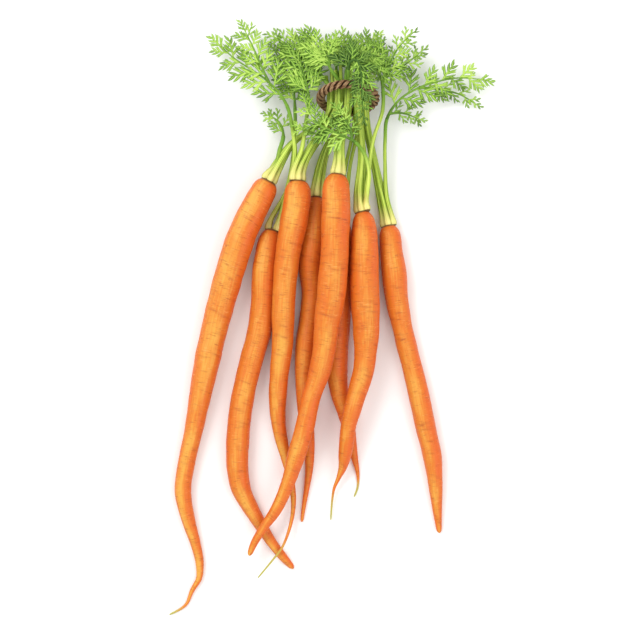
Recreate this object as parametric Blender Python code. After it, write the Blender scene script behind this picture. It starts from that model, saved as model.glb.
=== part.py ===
"""A bunch of carrots laid on a table: eight roots, the leaf stalks on their crowns, the cord that ties
the stalks together, and the feathery fronds. The tables are in millimetres, with +Y towards the leaves
and +Z up; the objects are in metres."""

import math

import bpy
from mathutils import Vector
from mathutils.geometry import tessellate_polygon

MM = 0.001
GAP = 0.3
MIDDLE_X, MIDDLE_Y = 0.7, 0.7

# Roots. Each row is one point of the centre line, from the crown to the tail: x, y, the height of the
# root's underside above the table, and the root's radius there.
ROOTS = {
    "carrot_1": [
        (-37.0, 83.0, 4.5, 7.8),
        (-43.5, 71.0, 4.2, 8.5),
        (-53.5, 50.0, 3.4, 9.1),
        (-59.5, 32.0, 2.0, 9.1),
        (-65.0, 13.0, 0.8, 8.8),
        (-70.0, -6.0, 0.0, 8.3),
        (-74.0, -23.5, 0.0, 8.1),
        (-79.0, -48.0, 0.0, 6.8),
        (-82.5, -66.5, 0.0, 5.8),
        (-86.5, -84.5, 0.0, 5.4),
        (-89.0, -103.0, 0.0, 5.2),
        (-85.5, -121.5, 0.0, 4.2),
        (-81.5, -135.0, 0.0, 3.2),
        (-79.0, -147.5, 0.0, 2.5),
        (-79.5, -156.0, 0.0, 1.9),
        (-83.5, -163.0, 0.0, 1.4),
        (-87.5, -172.0, 0.0, 0.9),
        (-97.5, -178.0, 0.0, 0.5),
    ],
    "carrot_2": [
        (-35.5, 54.0, 0.0, 6.0),
        (-37.5, 44.5, 0.0, 7.2),
        (-39.5, 32.0, 0.0, 7.8),
        (-40.5, 13.0, 0.0, 7.8),
        (-42.5, -5.0, 0.0, 7.7),
        (-47.5, -23.5, 0.0, 7.3),
        (-52.0, -42.0, 0.0, 7.2),
        (-54.5, -57.0, 0.0, 7.3),
        (-56.0, -75.0, 0.0, 7.2),
        (-56.0, -90.0, 0.0, 6.8),
        (-53.5, -103.0, 0.0, 6.0),
        (-49.0, -112.0, 0.0, 5.1),
        (-43.5, -121.5, 0.0, 4.2),
        (-35.0, -135.0, 0.0, 3.1),
        (-27.5, -144.5, 0.0, 2.5),
        (-22.5, -150.0, 0.0, 1.5),
    ],
    "carrot_3": [
        (-19.5, 83.0, 8.9, 7.5),
        (-20.0, 73.0, 9.0, 8.5),
        (-22.0, 59.5, 9.0, 8.6),
        (-25.5, 41.0, 9.0, 7.9),
        (-27.5, 22.5, 9.0, 7.4),
        (-28.5, 4.0, 8.8, 7.2),
        (-29.0, -14.5, 6.2, 6.6),
        (-31.0, -32.5, 4.0, 6.0),
        (-32.0, -48.0, 2.2, 5.5),
        (-31.5, -62.0, 1.3, 4.6),
        (-30.0, -71.0, 1.0, 4.0),
        (-27.0, -83.5, 1.5, 3.1),
        (-23.5, -99.0, 2.5, 2.0),
        (-22.5, -108.0, 3.1, 1.7),
        (-23.0, -117.0, 4.3, 1.3),
        (-25.0, -126.0, 5.5, 1.0),
        (-30.0, -138.0, 6.6, 0.7),
        (-35.0, -144.5, 5.6, 0.6),
        (-44.0, -155.5, 3.7, 0.5),
    ],
    "carrot_4": [
        (-8.5, 74.0, 0.0, 5.4),
        (-9.5, 63.0, 0.0, 6.9),
        (-10.5, 50.0, 0.0, 7.8),
        (-12.5, 32.0, 0.0, 7.4),
        (-11.5, 17.0, 0.0, 6.4),
        (-12.5, 4.0, 0.0, 6.3),
        (-15.0, -14.5, 0.0, 6.6),
        (-16.0, -32.5, 0.0, 5.9),
        (-15.5, -48.0, 0.0, 5.4),
        (-15.0, -59.0, 0.0, 4.9),
        (-13.5, -72.0, 0.0, 4.0),
        (-13.0, -89.0, 0.0, 2.6),
        (-14.5, -101.5, 0.0, 1.8),
        (-16.5, -114.0, 0.0, 1.3),
        (-17.5, -122.0, 0.0, 0.9),
    ],
    "carrot_5": [
        (4.0, 86.5, 16.0, 7.2),
        (3.0, 78.0, 15.8, 8.5),
        (3.0, 67.0, 15.3, 9.1),
        (2.5, 51.5, 15.1, 8.9),
        (2.0, 36.5, 15.0, 8.9),
        (1.0, 25.0, 14.8, 9.1),
        (0.0, 13.5, 14.5, 9.1),
        (-2.5, -2.0, 14.2, 8.0),
        (-4.0, -17.0, 13.0, 7.3),
        (-6.5, -30.0, 12.0, 6.8),
        (-12.0, -47.0, 11.7, 5.9),
        (-15.5, -63.5, 10.9, 6.0),
        (-20.5, -80.5, 9.6, 5.7),
        (-25.5, -97.0, 8.9, 4.4),
        (-33.0, -114.0, 8.4, 3.6),
        (-42.0, -127.0, 8.4, 2.6),
        (-46.5, -135.0, 8.2, 2.2),
        (-49.0, -141.5, 8.0, 1.5),
    ],
    "carrot_6": [
        (6.5, 59.0, 0.0, 5.7),
        (6.5, 48.0, 0.0, 7.0),
        (6.0, 32.5, 0.0, 7.3),
        (5.5, 12.0, 0.0, 7.3),
        (4.0, -12.0, 0.0, 7.1),
        (3.5, -30.0, 0.0, 6.8),
        (5.0, -42.5, 0.0, 5.9),
        (8.5, -55.0, 0.0, 5.1),
        (10.5, -63.5, 0.0, 4.3),
        (12.0, -72.0, 0.0, 3.5),
        (14.5, -84.0, 0.0, 2.1),
        (16.0, -91.0, 0.0, 1.3),
        (16.5, -96.5, 0.0, 0.8),
        (16.0, -102.0, 0.0, 0.6),
        (14.0, -107.0, 0.0, 0.5),
    ],
    "carrot_7": [
        (18.5, 64.5, 10.6, 6.0),
        (19.5, 59.0, 10.3, 7.0),
        (20.0, 48.0, 8.8, 8.4),
        (20.0, 32.5, 8.3, 8.9),
        (20.0, 21.0, 8.0, 9.2),
        (20.5, 9.5, 7.9, 9.0),
        (21.0, -5.5, 8.2, 8.3),
        (20.5, -21.0, 9.2, 7.0),
        (19.5, -30.0, 9.5, 6.6),
        (16.0, -42.5, 9.9, 6.1),
        (12.5, -55.0, 10.7, 5.4),
        (10.5, -63.5, 9.9, 4.9),
        (9.5, -72.0, 8.2, 4.7),
        (8.5, -80.5, 6.1, 4.2),
        (7.0, -89.0, 4.4, 2.6),
        (4.5, -95.5, 3.6, 1.4),
        (2.0, -101.5, 2.9, 0.9),
        (1.0, -107.5, 2.2, 0.7),
        (0.0, -121.0, 0.9, 0.5),
    ],
    "carrot_8": [
        (34.5, 56.5, 0.0, 6.0),
        (35.5, 51.0, 0.0, 6.8),
        (36.5, 40.0, 0.0, 7.3),
        (38.0, 29.0, 0.0, 7.9),
        (39.5, 13.5, 0.0, 7.4),
        (42.5, -2.0, 0.0, 6.5),
        (46.0, -17.0, 0.0, 6.4),
        (49.5, -30.5, 0.0, 6.4),
        (53.5, -47.5, 0.0, 6.6),
        (57.5, -66.5, 0.0, 6.3),
        (61.0, -81.5, 0.0, 5.9),
        (62.5, -93.5, 0.0, 5.0),
        (63.5, -105.5, 0.0, 3.9),
        (64.5, -118.0, 0.0, 2.6),
        (65.5, -128.5, 0.0, 1.5),
    ],
}
ROOT_SIDES = 12
ROOT_STATIONS = 15
SHOULDER = 6.5
CROWN_SHARE = 0.58
SHOULDER_STATIONS = (0.0, 0.9, 3.0)
TABLE_DIP = 0.08

# The tie: an oval ring of three-strand cord, whose top leans towards the leaves.
TIE_X, TIE_Y, TIE_Z = 10.2, 132.5, 14.6
TIE_HALF_WIDTH, TIE_HALF_HEIGHT, TIE_LEAN = 16.4, 11.2, 7.5
CORD_RADIUS = 2.8
STRAND_DEPTH = 0.28
CORD_TURNS = 13 / 3
CORD_SIDES = 9
CORD_STATIONS = 54

# Leaf stalks. Those of one root pass through the tie side by side. Each row gives the middle of their
# lanes, across and up from the tie's middle, the number of lanes, and points passed on the way there.
LANES = {
    "carrot_1": (-10.2, 0.0, 3, [(-24.5, 104.0, 13.5)]),
    "carrot_2": (-6.0, -4.7, 2, [(-28.0, 72.0, 5.6), (-16.5, 94.0, 6.2), (-5.0, 112.0, 7.8)]),
    "carrot_3": (-5.4, 4.3, 3, [(-12.5, 102.0, 18.0)]),
    "carrot_4": (-0.3, -4.9, 3, [(-2.0, 104.0, 8.2)]),
    "carrot_5": (0.2, 4.6, 3, [(5.5, 104.0, 21.6)]),
    "carrot_6": (5.6, -4.7, 2, [(9.5, 88.0, 7.4)]),
    "carrot_7": (5.9, 4.3, 3, [(18.6, 98.0, 18.0)]),
    "carrot_8": (10.2, 0.0, 3, [(27.0, 90.0, 10.5)]),
}
LANE_OFFSETS = ((-1.4, -0.8), (1.4, -0.8), (0.0, 1.7))
LANE_HALF_LENGTH = 5.0
FOOT_OFFSETS = ((-2.5, -0.9), (2.5, -0.9), (0.0, 2.1))
FREE_FOOT = (3.3, 2.6)
STALK_SIDES = 6
STALK_TURN = 13.0
STALK_STRETCH = 22.0
END_STRETCH = 1.0
STALK_RADII = (2.9, 1.6, 1.15)
STALK_FLARE = 9.0
STALK_THINNING = 30.0
FOOT_RINGS = (0.0, 0.15, 0.5, 1.0)
STUB_LENGTHS = (9.0, 12.0, 7.5)
STUB_DROP = 2.5
HALFWAY_DROP = 0.3
STUB_SPREAD = 0.12

# Fronds. Each grows on one stalk of a root: either the one in a lane of the tie, by its number, or one
# that passes outside the tie. Then come the points that the stalk passes after its crown or the tie, and
# the frond's sprays. A spray is the points of its rib, its number of leaflets and its longest leaflet.
FRONDS = {
    "frond_1": ("carrot_3", None, [(-21.5, 102.0, 19.5), (-23.0, 114.0, 21.0)], [
        ([(-26.0, 127.0, 21.5), (-38.4, 142.8, 20.5), (-48.6, 150.0, 17.5), (-57.0, 155.8, 14.5),
          (-64.5, 162.5, 11.5)], 8, 19.0),
        ([(-37.0, 141.3, 20.6), (-42.0, 152.4, 22.2), (-45.8, 161.0, 21.5), (-50.5, 171.0, 18.0)], 7, 15.0),
    ]),
    "frond_2": ("carrot_1", None, [(-33.0, 93.0, 12.5), (-30.5, 102.0, 12.5)], [
        ([(-28.5, 110.0, 12.5), (-29.5, 116.0, 12.5), (-32.0, 119.5, 12.0), (-36.0, 121.8, 11.0)], 5, 10.0),
    ]),
    "frond_3": ("carrot_3", None, [(-17.3, 102.0, 20.5), (-15.0, 117.0, 20.5)], [
        ([(-13.2, 131.0, 19.5), (-16.2, 147.0, 17.5), (-18.8, 157.2, 16.0), (-21.0, 164.5, 14.5)], 9, 17.0),
        ([(-18.6, 156.2, 16.1), (-25.0, 164.0, 12.5), (-33.0, 169.0, 9.5)], 5, 12.0),
    ]),
    "frond_4": ("carrot_3", 2, [], [
        ([(0.5, 148.0, 23.0), (-3.6, 155.4, 24.0), (-8.0, 162.0, 22.5), (-12.5, 166.5, 20.0)], 7, 16.0),
        ([(-1.0, 151.0, 23.6), (-0.6, 158.0, 26.0), (1.5, 165.0, 26.0)], 5, 11.0),
    ]),
    "frond_5": ("carrot_4", 2, [(7.0, 143.0, 11.5)], [
        ([(3.5, 149.0, 12.0), (4.0, 156.0, 11.5), (5.2, 162.0, 10.5), (6.2, 167.5, 9.5)], 7, 14.0),
    ]),
    "frond_6": ("carrot_5", 0, [(9.0, 144.0, 19.5)], [
        ([(9.5, 149.0, 19.5), (13.0, 156.6, 16.5), (18.0, 163.0, 13.0), (23.5, 167.5, 10.5)], 7, 15.0),
    ]),
    "frond_7": ("carrot_7", 2, [(15.4, 146.0, 22.2)], [
        ([(15.5, 149.5, 23.6), (17.3, 155.0, 25.0), (22.8, 158.0, 25.2), (28.0, 154.0, 24.4),
          (31.0, 146.5, 23.0)], 7, 12.0),
    ]),
    "frond_8": ("carrot_5", 2, [(10.8, 143.0, 23.3)], [
        ([(10.4, 148.5, 27.2), (11.6, 153.0, 30.2), (15.0, 153.6, 32.0), (17.4, 148.5, 32.6),
          (18.0, 140.0, 32.6), (18.3, 131.0, 32.0), (19.0, 123.5, 30.5)], 9, 14.0),
    ]),
    "frond_9": ("carrot_7", None, [(22.5, 88.0, 18.5), (25.5, 108.0, 19.0), (31.0, 126.0, 17.5)], [
        ([(31.0, 138.0, 17.5), (29.8, 145.0, 18.6), (28.8, 153.0, 19.4), (29.0, 160.0, 19.2),
          (28.4, 166.0, 18.4)], 5, 11.0),
        ([(30.4, 141.0, 17.7), (33.6, 147.0, 17.5), (37.0, 157.0, 15.5), (41.0, 163.5, 14.0),
          (46.0, 169.0, 12.5)], 6, 13.0),
        ([(31.6, 143.5, 17.6), (39.0, 149.5, 15.0), (46.0, 154.0, 12.4), (52.5, 159.5, 10.0)], 5, 12.0),
    ]),
    "frond_10": ("carrot_8", None, [(33.5, 74.0, 8.5), (32.5, 92.0, 10.5), (32.5, 108.0, 12.0)], [
        ([(33.5, 120.0, 12.5), (40.8, 131.5, 12.0), (52.0, 138.8, 11.0), (66.0, 143.5, 9.5),
          (77.0, 145.3, 8.2), (87.5, 144.8, 6.8)], 9, 18.0),
        ([(53.0, 139.3, 10.9), (61.0, 139.0, 7.8), (70.0, 137.8, 6.0), (79.0, 135.0, 5.2),
          (85.5, 131.0, 4.6)], 6, 11.0),
        ([(35.0, 123.5, 12.4), (43.0, 124.0, 10.0), (52.0, 121.0, 7.5)], 5, 9.5),
    ]),
    "frond_11": ("carrot_7", None, [(21.5, 76.0, 23.0), (22.5, 88.0, 25.5), (19.8, 98.4, 26.5)], [
        ([(14.4, 105.3, 27.2), (4.2, 110.4, 28.2), (-5.4, 115.0, 28.4), (-11.5, 121.0, 27.6),
          (-14.5, 127.0, 26.6)], 7, 15.0),
        ([(12.2, 106.6, 27.4), (11.5, 113.4, 29.6), (8.0, 119.0, 30.4), (4.5, 123.5, 30.4)], 5, 11.0),
        ([(1.5, 111.7, 28.2), (-6.5, 110.4, 25.8), (-15.0, 112.0, 25.0), (-20.5, 114.5, 25.0)], 5, 9.0),
    ]),
    "frond_12": ("carrot_2", None, [(-28.5, 70.0, 5.6), (-24.0, 90.0, 6.0), (-22.0, 106.0, 7.0)], [
        ([(-21.5, 126.0, 10.0), (-22.5, 138.0, 10.0), (-27.0, 150.0, 8.5), (-32.0, 159.0, 6.5)], 7, 16.0),
    ]),
    "frond_13": ("carrot_1", 2, [(-3.0, 142.0, 16.0)], [
        ([(-6.5, 147.5, 15.0), (-11.0, 155.0, 12.5), (-15.0, 163.0, 9.0)], 6, 14.0),
    ]),
    "frond_14": ("carrot_8", 2, [(20.4, 142.0, 15.0)], [
        ([(20.4, 147.0, 13.5), (23.5, 155.0, 9.4), (28.6, 162.0, 5.6)], 6, 11.0),
    ]),
}
RIB_HALF_WIDTHS = (1.0, 0.55)
RIB_HALF_HEIGHTS = (0.9, 0.45)
BLADE_HALF_HEIGHT = 0.35
LEAFLET_SPAN = (0.16, 0.84)
LEAFLET_ANGLES = (58.0, 36.0)
LEAFLET_SHRINK = 0.40
LEAFLET_ROOM = 0.6
LEAFLET_AIM = 3.0
LEAFLET_BASE = 0.63
ANGLE_SWAY, ANGLE_WAVE = 3.0, 2.4
LENGTH_SWAY, LENGTH_WAVE = 0.08, 4.1
TIP_LEAFLET = 0.65
LEAFLET_RISE, LEAFLET_DROOP, LEAFLET_ARCH = 0.08, 0.18, 0.12
SHORTEST_LEAFLET, SHORT_LEAFLET = 4.0, 12.5
LOBED_PART = (0.10, 0.80)
LOBE_REACH = 0.36
LOBE_ROOM = 0.45
FOOT_ROOM = 0.9
SMALLEST_LOBE = 0.2
LOBE_TAPER = 0.45
LOBE_SHARE = 0.40
LOBE_LEAN = 0.70
VEIN_HALF_WIDTH = 0.45

COLOURS = {
    "carrot": (0.86, 0.26, 0.045, 0.42),
    "stalks": (0.42, 0.60, 0.12, 0.45),
    "frond": (0.13, 0.36, 0.06, 0.55),
    "tie": (0.28, 0.14, 0.075, 0.85),
}
SHARP_ANGLE = 40.0


def mix(a, b, share):
    return a + (b - a) * share


def point(row):
    """The point of a table's row, as a vector in millimetres."""
    return Vector(row[:3])


def lengths(rows):
    """How far along the line each row lies."""
    run = [0.0]
    for a, b in zip(rows, rows[1:]):
        run.append(run[-1] + math.dist(a[:3], b[:3]))
    return run


def smooth(rows, steps, before=None, after=None):
    """Rows on a smooth curve through the given rows, with so many steps to each stretch. Its ends run on
    from the row before and towards the row after, where these are given."""
    padded = [before or rows[0], *rows, after or rows[-1]]
    spans = [max(math.dist(a[:3], b[:3]), 1e-6) for a, b in zip(padded, padded[1:])]
    slopes = []
    for i in range(len(rows)):
        back, ahead = spans[i], spans[i + 1]
        slopes.append([
            ((b - a) / back * ahead + (c - b) / ahead * back) / (back + ahead)
            for a, b, c in zip(padded[i], padded[i + 1], padded[i + 2])
        ])
    found = []
    for i in range(len(rows) - 1):
        span = spans[i + 1]
        for step in range(steps):
            t = step / steps
            found.append(tuple(
                (2 * t ** 3 - 3 * t ** 2 + 1) * a + (t ** 3 - 2 * t ** 2 + t) * span * m
                + (3 * t ** 2 - 2 * t ** 3) * b + (t ** 3 - t ** 2) * span * n
                for a, b, m, n in zip(rows[i], rows[i + 1], slopes[i], slopes[i + 1])
            ))
    return [*found, tuple(rows[-1])]


def along(rows, run, distance):
    """The row at a distance along the line."""
    distance = min(max(distance, 0.0), run[-1])
    for i in range(len(run) - 1):
        if distance <= run[i + 1]:
            share = (distance - run[i]) / max(run[i + 1] - run[i], 1e-9)
            return tuple(mix(a, b, share) for a, b in zip(rows[i], rows[i + 1]))
    return rows[-1]


def resample(rows, distances):
    run = lengths(rows)
    return [along(rows, run, distance) for distance in distances]


def frames(centres):
    """The direction, the level vector to the right and the upward vector at each centre."""
    found = []
    for i in range(len(centres)):
        ahead = centres[min(i + 1, len(centres) - 1)]
        tangent = (ahead - centres[max(i - 1, 0)]).normalized()
        side = tangent.cross(Vector((0, 0, 1))).normalized()
        found.append((tangent, side, side.cross(tangent)))
    return found


def mesh_object(name, vertices, faces):
    """The object of these vertices, given in millimetres."""
    mesh = bpy.data.meshes.new(name)
    middle = Vector((MIDDLE_X, MIDDLE_Y, 0))
    mesh.from_pydata([(Vector(v) - middle) * MM for v in vertices], [], faces)
    mesh.update()
    made = bpy.data.objects.new(name, mesh)
    bpy.context.scene.collection.objects.link(made)
    return made


def skin(name, vertices, sides, closed=False):
    """The object whose faces join rings of points: a loop of rings, or a row with flat ends."""
    rings = len(vertices) // sides
    faces = []
    for ring in range(rings if closed else rings - 1):
        for k in range(sides):
            a, b = ring * sides + k, ring * sides + (k + 1) % sides
            step = sides if ring < rings - 1 else -ring * sides
            faces.append((a, b, b + step, a + step))
    if not closed:
        faces.append(tuple(reversed(range(sides))))
        faces.append(tuple(range((rings - 1) * sides, rings * sides)))
    return mesh_object(name, vertices, faces)


def tube(name, centres, radii, sides, floor=None):
    """A closed tube with a flat side down. Points that would pass below the floor are pressed flat on it."""
    vertices = []
    for centre, radius, (_, side, up) in zip(centres, radii, frames(centres)):
        for k in range(sides):
            angle = 2 * math.pi * (k + 0.5) / sides - math.pi / 2
            place = centre - radius * math.cos(angle) * side + radius * math.sin(angle) * up
            if floor is not None:
                place.z = max(place.z, floor)
            vertices.append(place)
    return skin(name, vertices, sides)


def fuse(name, pieces):
    """One body from overlapping pieces."""
    first, rest = pieces[0], pieces[1:]
    first.name = name
    if rest:
        group = bpy.data.collections.new(name + "_pieces")
        for piece in rest:
            group.objects.link(piece)
        union = first.modifiers.new("union", "BOOLEAN")
        union.operation = "UNION"
        union.operand_type = "COLLECTION"
        union.collection = group
        joined = first.evaluated_get(bpy.context.evaluated_depsgraph_get())
        first.data = bpy.data.meshes.new_from_object(joined)
        first.modifiers.clear()
        for piece in rest:
            bpy.data.objects.remove(piece)
        bpy.data.collections.remove(group)
    first.data.name = name
    return first


def root_rows(name):
    """The root's stations: centre x, y, z and radius, close together at the shoulder."""
    rows = []
    for x, y, underside, radius in ROOTS[name]:
        lift = underside or -TABLE_DIP
        rows.append((x, y, lift + radius * math.cos(math.pi / ROOT_SIDES), radius))
    fine = smooth(rows, 6)
    whole = lengths(fine)[-1]
    spread = [SHOULDER_STATIONS[-1] + (whole - SHOULDER_STATIONS[-1]) * (i + 1) / ROOT_STATIONS
              for i in range(ROOT_STATIONS)]
    distances = [*SHOULDER_STATIONS, *spread]
    found = []
    for distance, (x, y, z, radius) in zip(distances, resample(fine, distances)):
        if distance < SHOULDER:
            inward = 1 - distance / SHOULDER
            radius *= math.sqrt(1 - inward ** 2 * (1 - CROWN_SHARE ** 2))
        found.append((x, y, z, radius))
    return found


def build_root(name):
    rows = root_rows(name)
    centres = [point(row) for row in rows]
    return tube(name, centres, [row[3] for row in rows], ROOT_SIDES, floor=0.0)


def crown(name):
    """The middle of the root's crown and the direction in which its stalks leave."""
    start, after = (point(row) for row in root_rows(name)[:2])
    return start, (start - after).normalized()


def lane(name, number):
    """Where a stalk enters and leaves the tie, which it crosses level."""
    across, up, _, _ = LANES[name]
    dx, dz = LANE_OFFSETS[number]
    x, z = TIE_X + across + dx, TIE_Z + up + dz
    y = TIE_Y + TIE_LEAN * (up + dz) / TIE_HALF_HEIGHT
    return [(x, y - LANE_HALF_LENGTH, z), (x, y, z), (x, y + LANE_HALF_LENGTH, z)]


def stalk_start(name, dx, dz):
    """The first points of a stalk, which leaves the crown square to it."""
    middle, out = crown(name)
    side = out.cross(Vector((0, 0, 1))).normalized()
    foot = middle + side * dx + side.cross(out) * dz
    return [tuple(foot + out * distance) for distance in (GAP, STALK_FLARE / 3)]


def free_start(root, name):
    """The first points of a stalk that passes outside the tie, on the side of the crown where it goes."""
    free = [other for other in FRONDS if FRONDS[other][:2] == (root, None)]
    middle, _ = crown(root)
    through, beside = (point(rows[0]) - middle for rows in (LANES[root][3], FRONDS[name][2]))
    to_the_right = through.y * beside.x - through.x * beside.y
    return stalk_start(root, math.copysign(FREE_FOOT[0], to_the_right), FREE_FOOT[1] * free.index(name))


def lane_route(name, number):
    """A stalk through the tie, up to where its lane ends."""
    dx, dz = LANE_OFFSETS[number]
    passed = [(x + dx, y, z + dz) for x, y, z in LANES[name][3]]
    return [*stalk_start(name, *FOOT_OFFSETS[number]), *passed, *lane(name, number)]


def stub_route(name, number):
    """A stalk that ends past the tie, bent down a little."""
    rows = lane_route(name, number)
    x, y, z = rows[-1]
    reach = STUB_LENGTHS[number]
    lean = (x - TIE_X) * STUB_SPREAD
    rows.append((x + lean / 2, y + reach / 2, z - STUB_DROP * HALFWAY_DROP))
    rows.append((x + lean, y + reach, z - STUB_DROP))
    return rows


def frond_route(name):
    """The points of the stalk that a frond grows on, up to the frond's first point."""
    root, number, passed, _ = FRONDS[name]
    start = free_start(root, name) if number is None else lane_route(root, number)
    return [*start, *passed]


def stalk_radius(distance):
    """A stalk's radius: wide where it clasps the crown, then slim."""
    base, middle, far = STALK_RADII
    if distance < STALK_FLARE:
        return mix(base, middle, math.sin(math.pi / 2 * distance / STALK_FLARE))
    return mix(middle, far, min((distance - STALK_FLARE) / STALK_THINNING, 1.0))


def stations(fine, whole):
    """Distances along a fine line at which its tube has rings: where it bends, and at long straights."""
    run = lengths(fine)
    found = [share * STALK_FLARE for share in FOOT_RINGS]
    heading = None
    for i in range(len(fine) - 1):
        ahead = (point(fine[i + 1]) - point(fine[i])).normalized()
        if run[i] > STALK_FLARE + END_STRETCH and run[i] < whole - 2 * END_STRETCH:
            turned = math.degrees(ahead.angle(heading))
            if turned > STALK_TURN or run[i] - found[-1] > STALK_STRETCH:
                found.append(run[i])
                heading = ahead
        if run[i] <= STALK_FLARE or heading is None:
            heading = ahead
    return [*found, whole - END_STRETCH, whole]


def stalk_piece(rows, after=None):
    """The tube of one stalk along its points. It stops a gap short of a frond that follows."""
    fine = smooth(rows, 8, after=after)
    whole = lengths(fine)[-1]
    if after:
        slope = (point(fine[-1]) - point(fine[-2])).normalized().z
        whole -= GAP + STALK_RADII[-1] * abs(slope)
    distances = stations(fine, whole)
    centres = [point(row) for row in resample(fine, distances)]
    return tube("stalk", centres, [stalk_radius(distance) for distance in distances], STALK_SIDES)


def build_stalks(root):
    """All stalks on one crown, joined where their wide feet meet."""
    with_frond = {FRONDS[name][1]: name for name in FRONDS if FRONDS[name][0] == root}
    pieces = []
    for number in range(LANES[root][2]):
        if number not in with_frond:
            pieces.append(stalk_piece(stub_route(root, number)))
    for name, (owner, _, _, _) in FRONDS.items():
        if owner == root:
            first, second = FRONDS[name][3][0][0][:2]
            pieces.append(stalk_piece([*frond_route(name), first], after=second))
    return fuse(root.replace("carrot", "stalks"), pieces)


def build_tie():
    """The ring of three strands laid round each other."""
    turn = 2 * math.pi / CORD_STATIONS
    centres = []
    for i in range(CORD_STATIONS):
        up = math.sin(i * turn)
        centres.append(Vector((
            TIE_X + TIE_HALF_WIDTH * math.cos(i * turn),
            TIE_Y + TIE_LEAN * up,
            TIE_Z + TIE_HALF_HEIGHT * up,
        )))
    across = Vector((0, TIE_HALF_HEIGHT, -TIE_LEAN)).normalized()
    vertices = []
    for i, centre in enumerate(centres):
        ahead = centres[(i + 1) % CORD_STATIONS] - centres[i - 1]
        out = ahead.normalized().cross(across)
        for k in range(CORD_SIDES):
            angle = 2 * math.pi * k / CORD_SIDES
            strand = 0.5 + 0.5 * math.cos(3 * (angle + CORD_TURNS * i * turn))
            radius = CORD_RADIUS * (1 - STRAND_DEPTH * (1 - strand))
            vertices.append(centre + radius * (math.cos(angle) * out - math.sin(angle) * across))
    return skin("tie_cord", vertices, CORD_SIDES, closed=True)


def lobes_of(length, room):
    """One side of a leaflet, from base to tip, as lobes cut to its vein: along and across. The room for
    them, across, is a function of the distance along."""
    count = 2 if length < SHORT_LEAFLET else 3
    first, last = LOBED_PART
    step = length * (last - first) / count
    side = [(length * first, VEIN_HALF_WIDTH)]
    for i in range(count):
        start = length * first + step * i
        reach = length * LOBE_REACH * (1 - LOBE_TAPER * i / count)
        middle = start + step * LOBE_SHARE
        reach = max(min(reach, room(middle) - VEIN_HALF_WIDTH), SMALLEST_LOBE)
        side.append((middle + reach * LOBE_LEAN, VEIN_HALF_WIDTH + reach))
        side.append((start + step, VEIN_HALF_WIDTH))
    return side[1:]


def leaflet_edge(place, heading, length, room):
    """The outline of one leaflet, from the right of its foot round its tip. Each row is a place and half
    the thickness there."""
    ahead = Vector((math.cos(heading), math.sin(heading), 0))
    left = Vector((-ahead.y, ahead.x, 0))
    lobes = lobes_of(length, room)
    outline = [(u, -v) for u, v in lobes] + [(length, 0.0)] + list(reversed(lobes))
    found = []
    for u, v in outline:
        share = u / length
        rise = length * (LEAFLET_RISE * share - LEAFLET_DROOP * share ** 2) - LEAFLET_ARCH * abs(v)
        found.append((place + ahead * u + left * v + Vector((0, 0, rise)), BLADE_HALF_HEIGHT))
    return found


def spray_outline(rows, leaflets, longest, before=None):
    """The outline of one spray, cut to its rib between the leaflets on either side."""
    fine = smooth(rows, 8, before=before)
    run = lengths(fine)
    whole = run[-1]
    pitch = 2 * whole * (LEAFLET_SPAN[1] - LEAFLET_SPAN[0]) / (leaflets - 1)
    edges = {1: [], -1: []}
    for i in range(leaflets):
        share = mix(*LEAFLET_SPAN, i / (leaflets - 1))
        side = 1 if i % 2 else -1
        near, place, far = (
            point(along(fine, run, whole * share + step)) for step in (-LEAFLET_AIM, 0.0, LEAFLET_AIM)
        )
        heading = math.atan2(far.y - near.y, far.x - near.x)
        coming, going = (math.atan2(b.y - a.y, b.x - a.x) for a, b in ((near, place), (place, far)))
        closing = max(-math.remainder(going - coming, 2 * math.pi) * side / LEAFLET_AIM, 0.0)
        angle = math.radians(mix(*LEAFLET_ANGLES, share) + ANGLE_SWAY * math.sin(ANGLE_WAVE * i + whole))
        length = longest * (1 - LEAFLET_SHRINK * share)
        length *= 1 + LENGTH_SWAY * math.sin(LENGTH_WAVE * i + whole)
        length = min(length, LEAFLET_ROOM / max(closing, 1e-6))
        outward = Vector((math.sin(heading), -math.cos(heading), 0)) * side
        half_width, half_height = (mix(*ends, share) for ends in (RIB_HALF_WIDTHS, RIB_HALF_HEIGHTS))
        forward = Vector((math.cos(heading), math.sin(heading), 0)) * LEAFLET_BASE
        foot = place + outward * half_width
        if length < SHORTEST_LEAFLET:
            edges[side].append((foot, half_height))
            continue
        hollow = closing * pitch ** 2 / 8

        def room(u):
            beside = LOBE_ROOM * pitch * (math.sin(angle) - u * closing)
            return min(beside, FOOT_ROOM * u * math.tan(angle) - hollow)

        blade = leaflet_edge(foot, heading - angle * side, length, room)
        if side < 0:
            blade.reverse()
        edges[side] += [(foot - forward, half_height), *blade, (foot + forward, half_height)]
    tip, near = point(fine[-1]), point(fine[-3])
    heading = math.atan2(tip.y - near.y, tip.x - near.x)
    end = leaflet_edge(tip, heading, longest * TIP_LEAFLET, lambda u: longest)
    neck = rib_edges(fine[-2], fine[-1], VEIN_HALF_WIDTH, RIB_HALF_HEIGHTS[1])
    foot = rib_edges(fine[0], fine[1], RIB_HALF_WIDTHS[0], RIB_HALF_HEIGHTS[0])
    return [foot[0], *edges[1], neck[0], *end, neck[1], *reversed(edges[-1]), foot[1]]


def rib_edges(start, end, half_width, half_height):
    """The right and the left edge of a rib at its start or end."""
    across = (point(end) - point(start)).normalized().cross(Vector((0, 0, 1))).normalized() * half_width
    place = point(start)
    return (place + across, half_height), (place - across, half_height)


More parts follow.
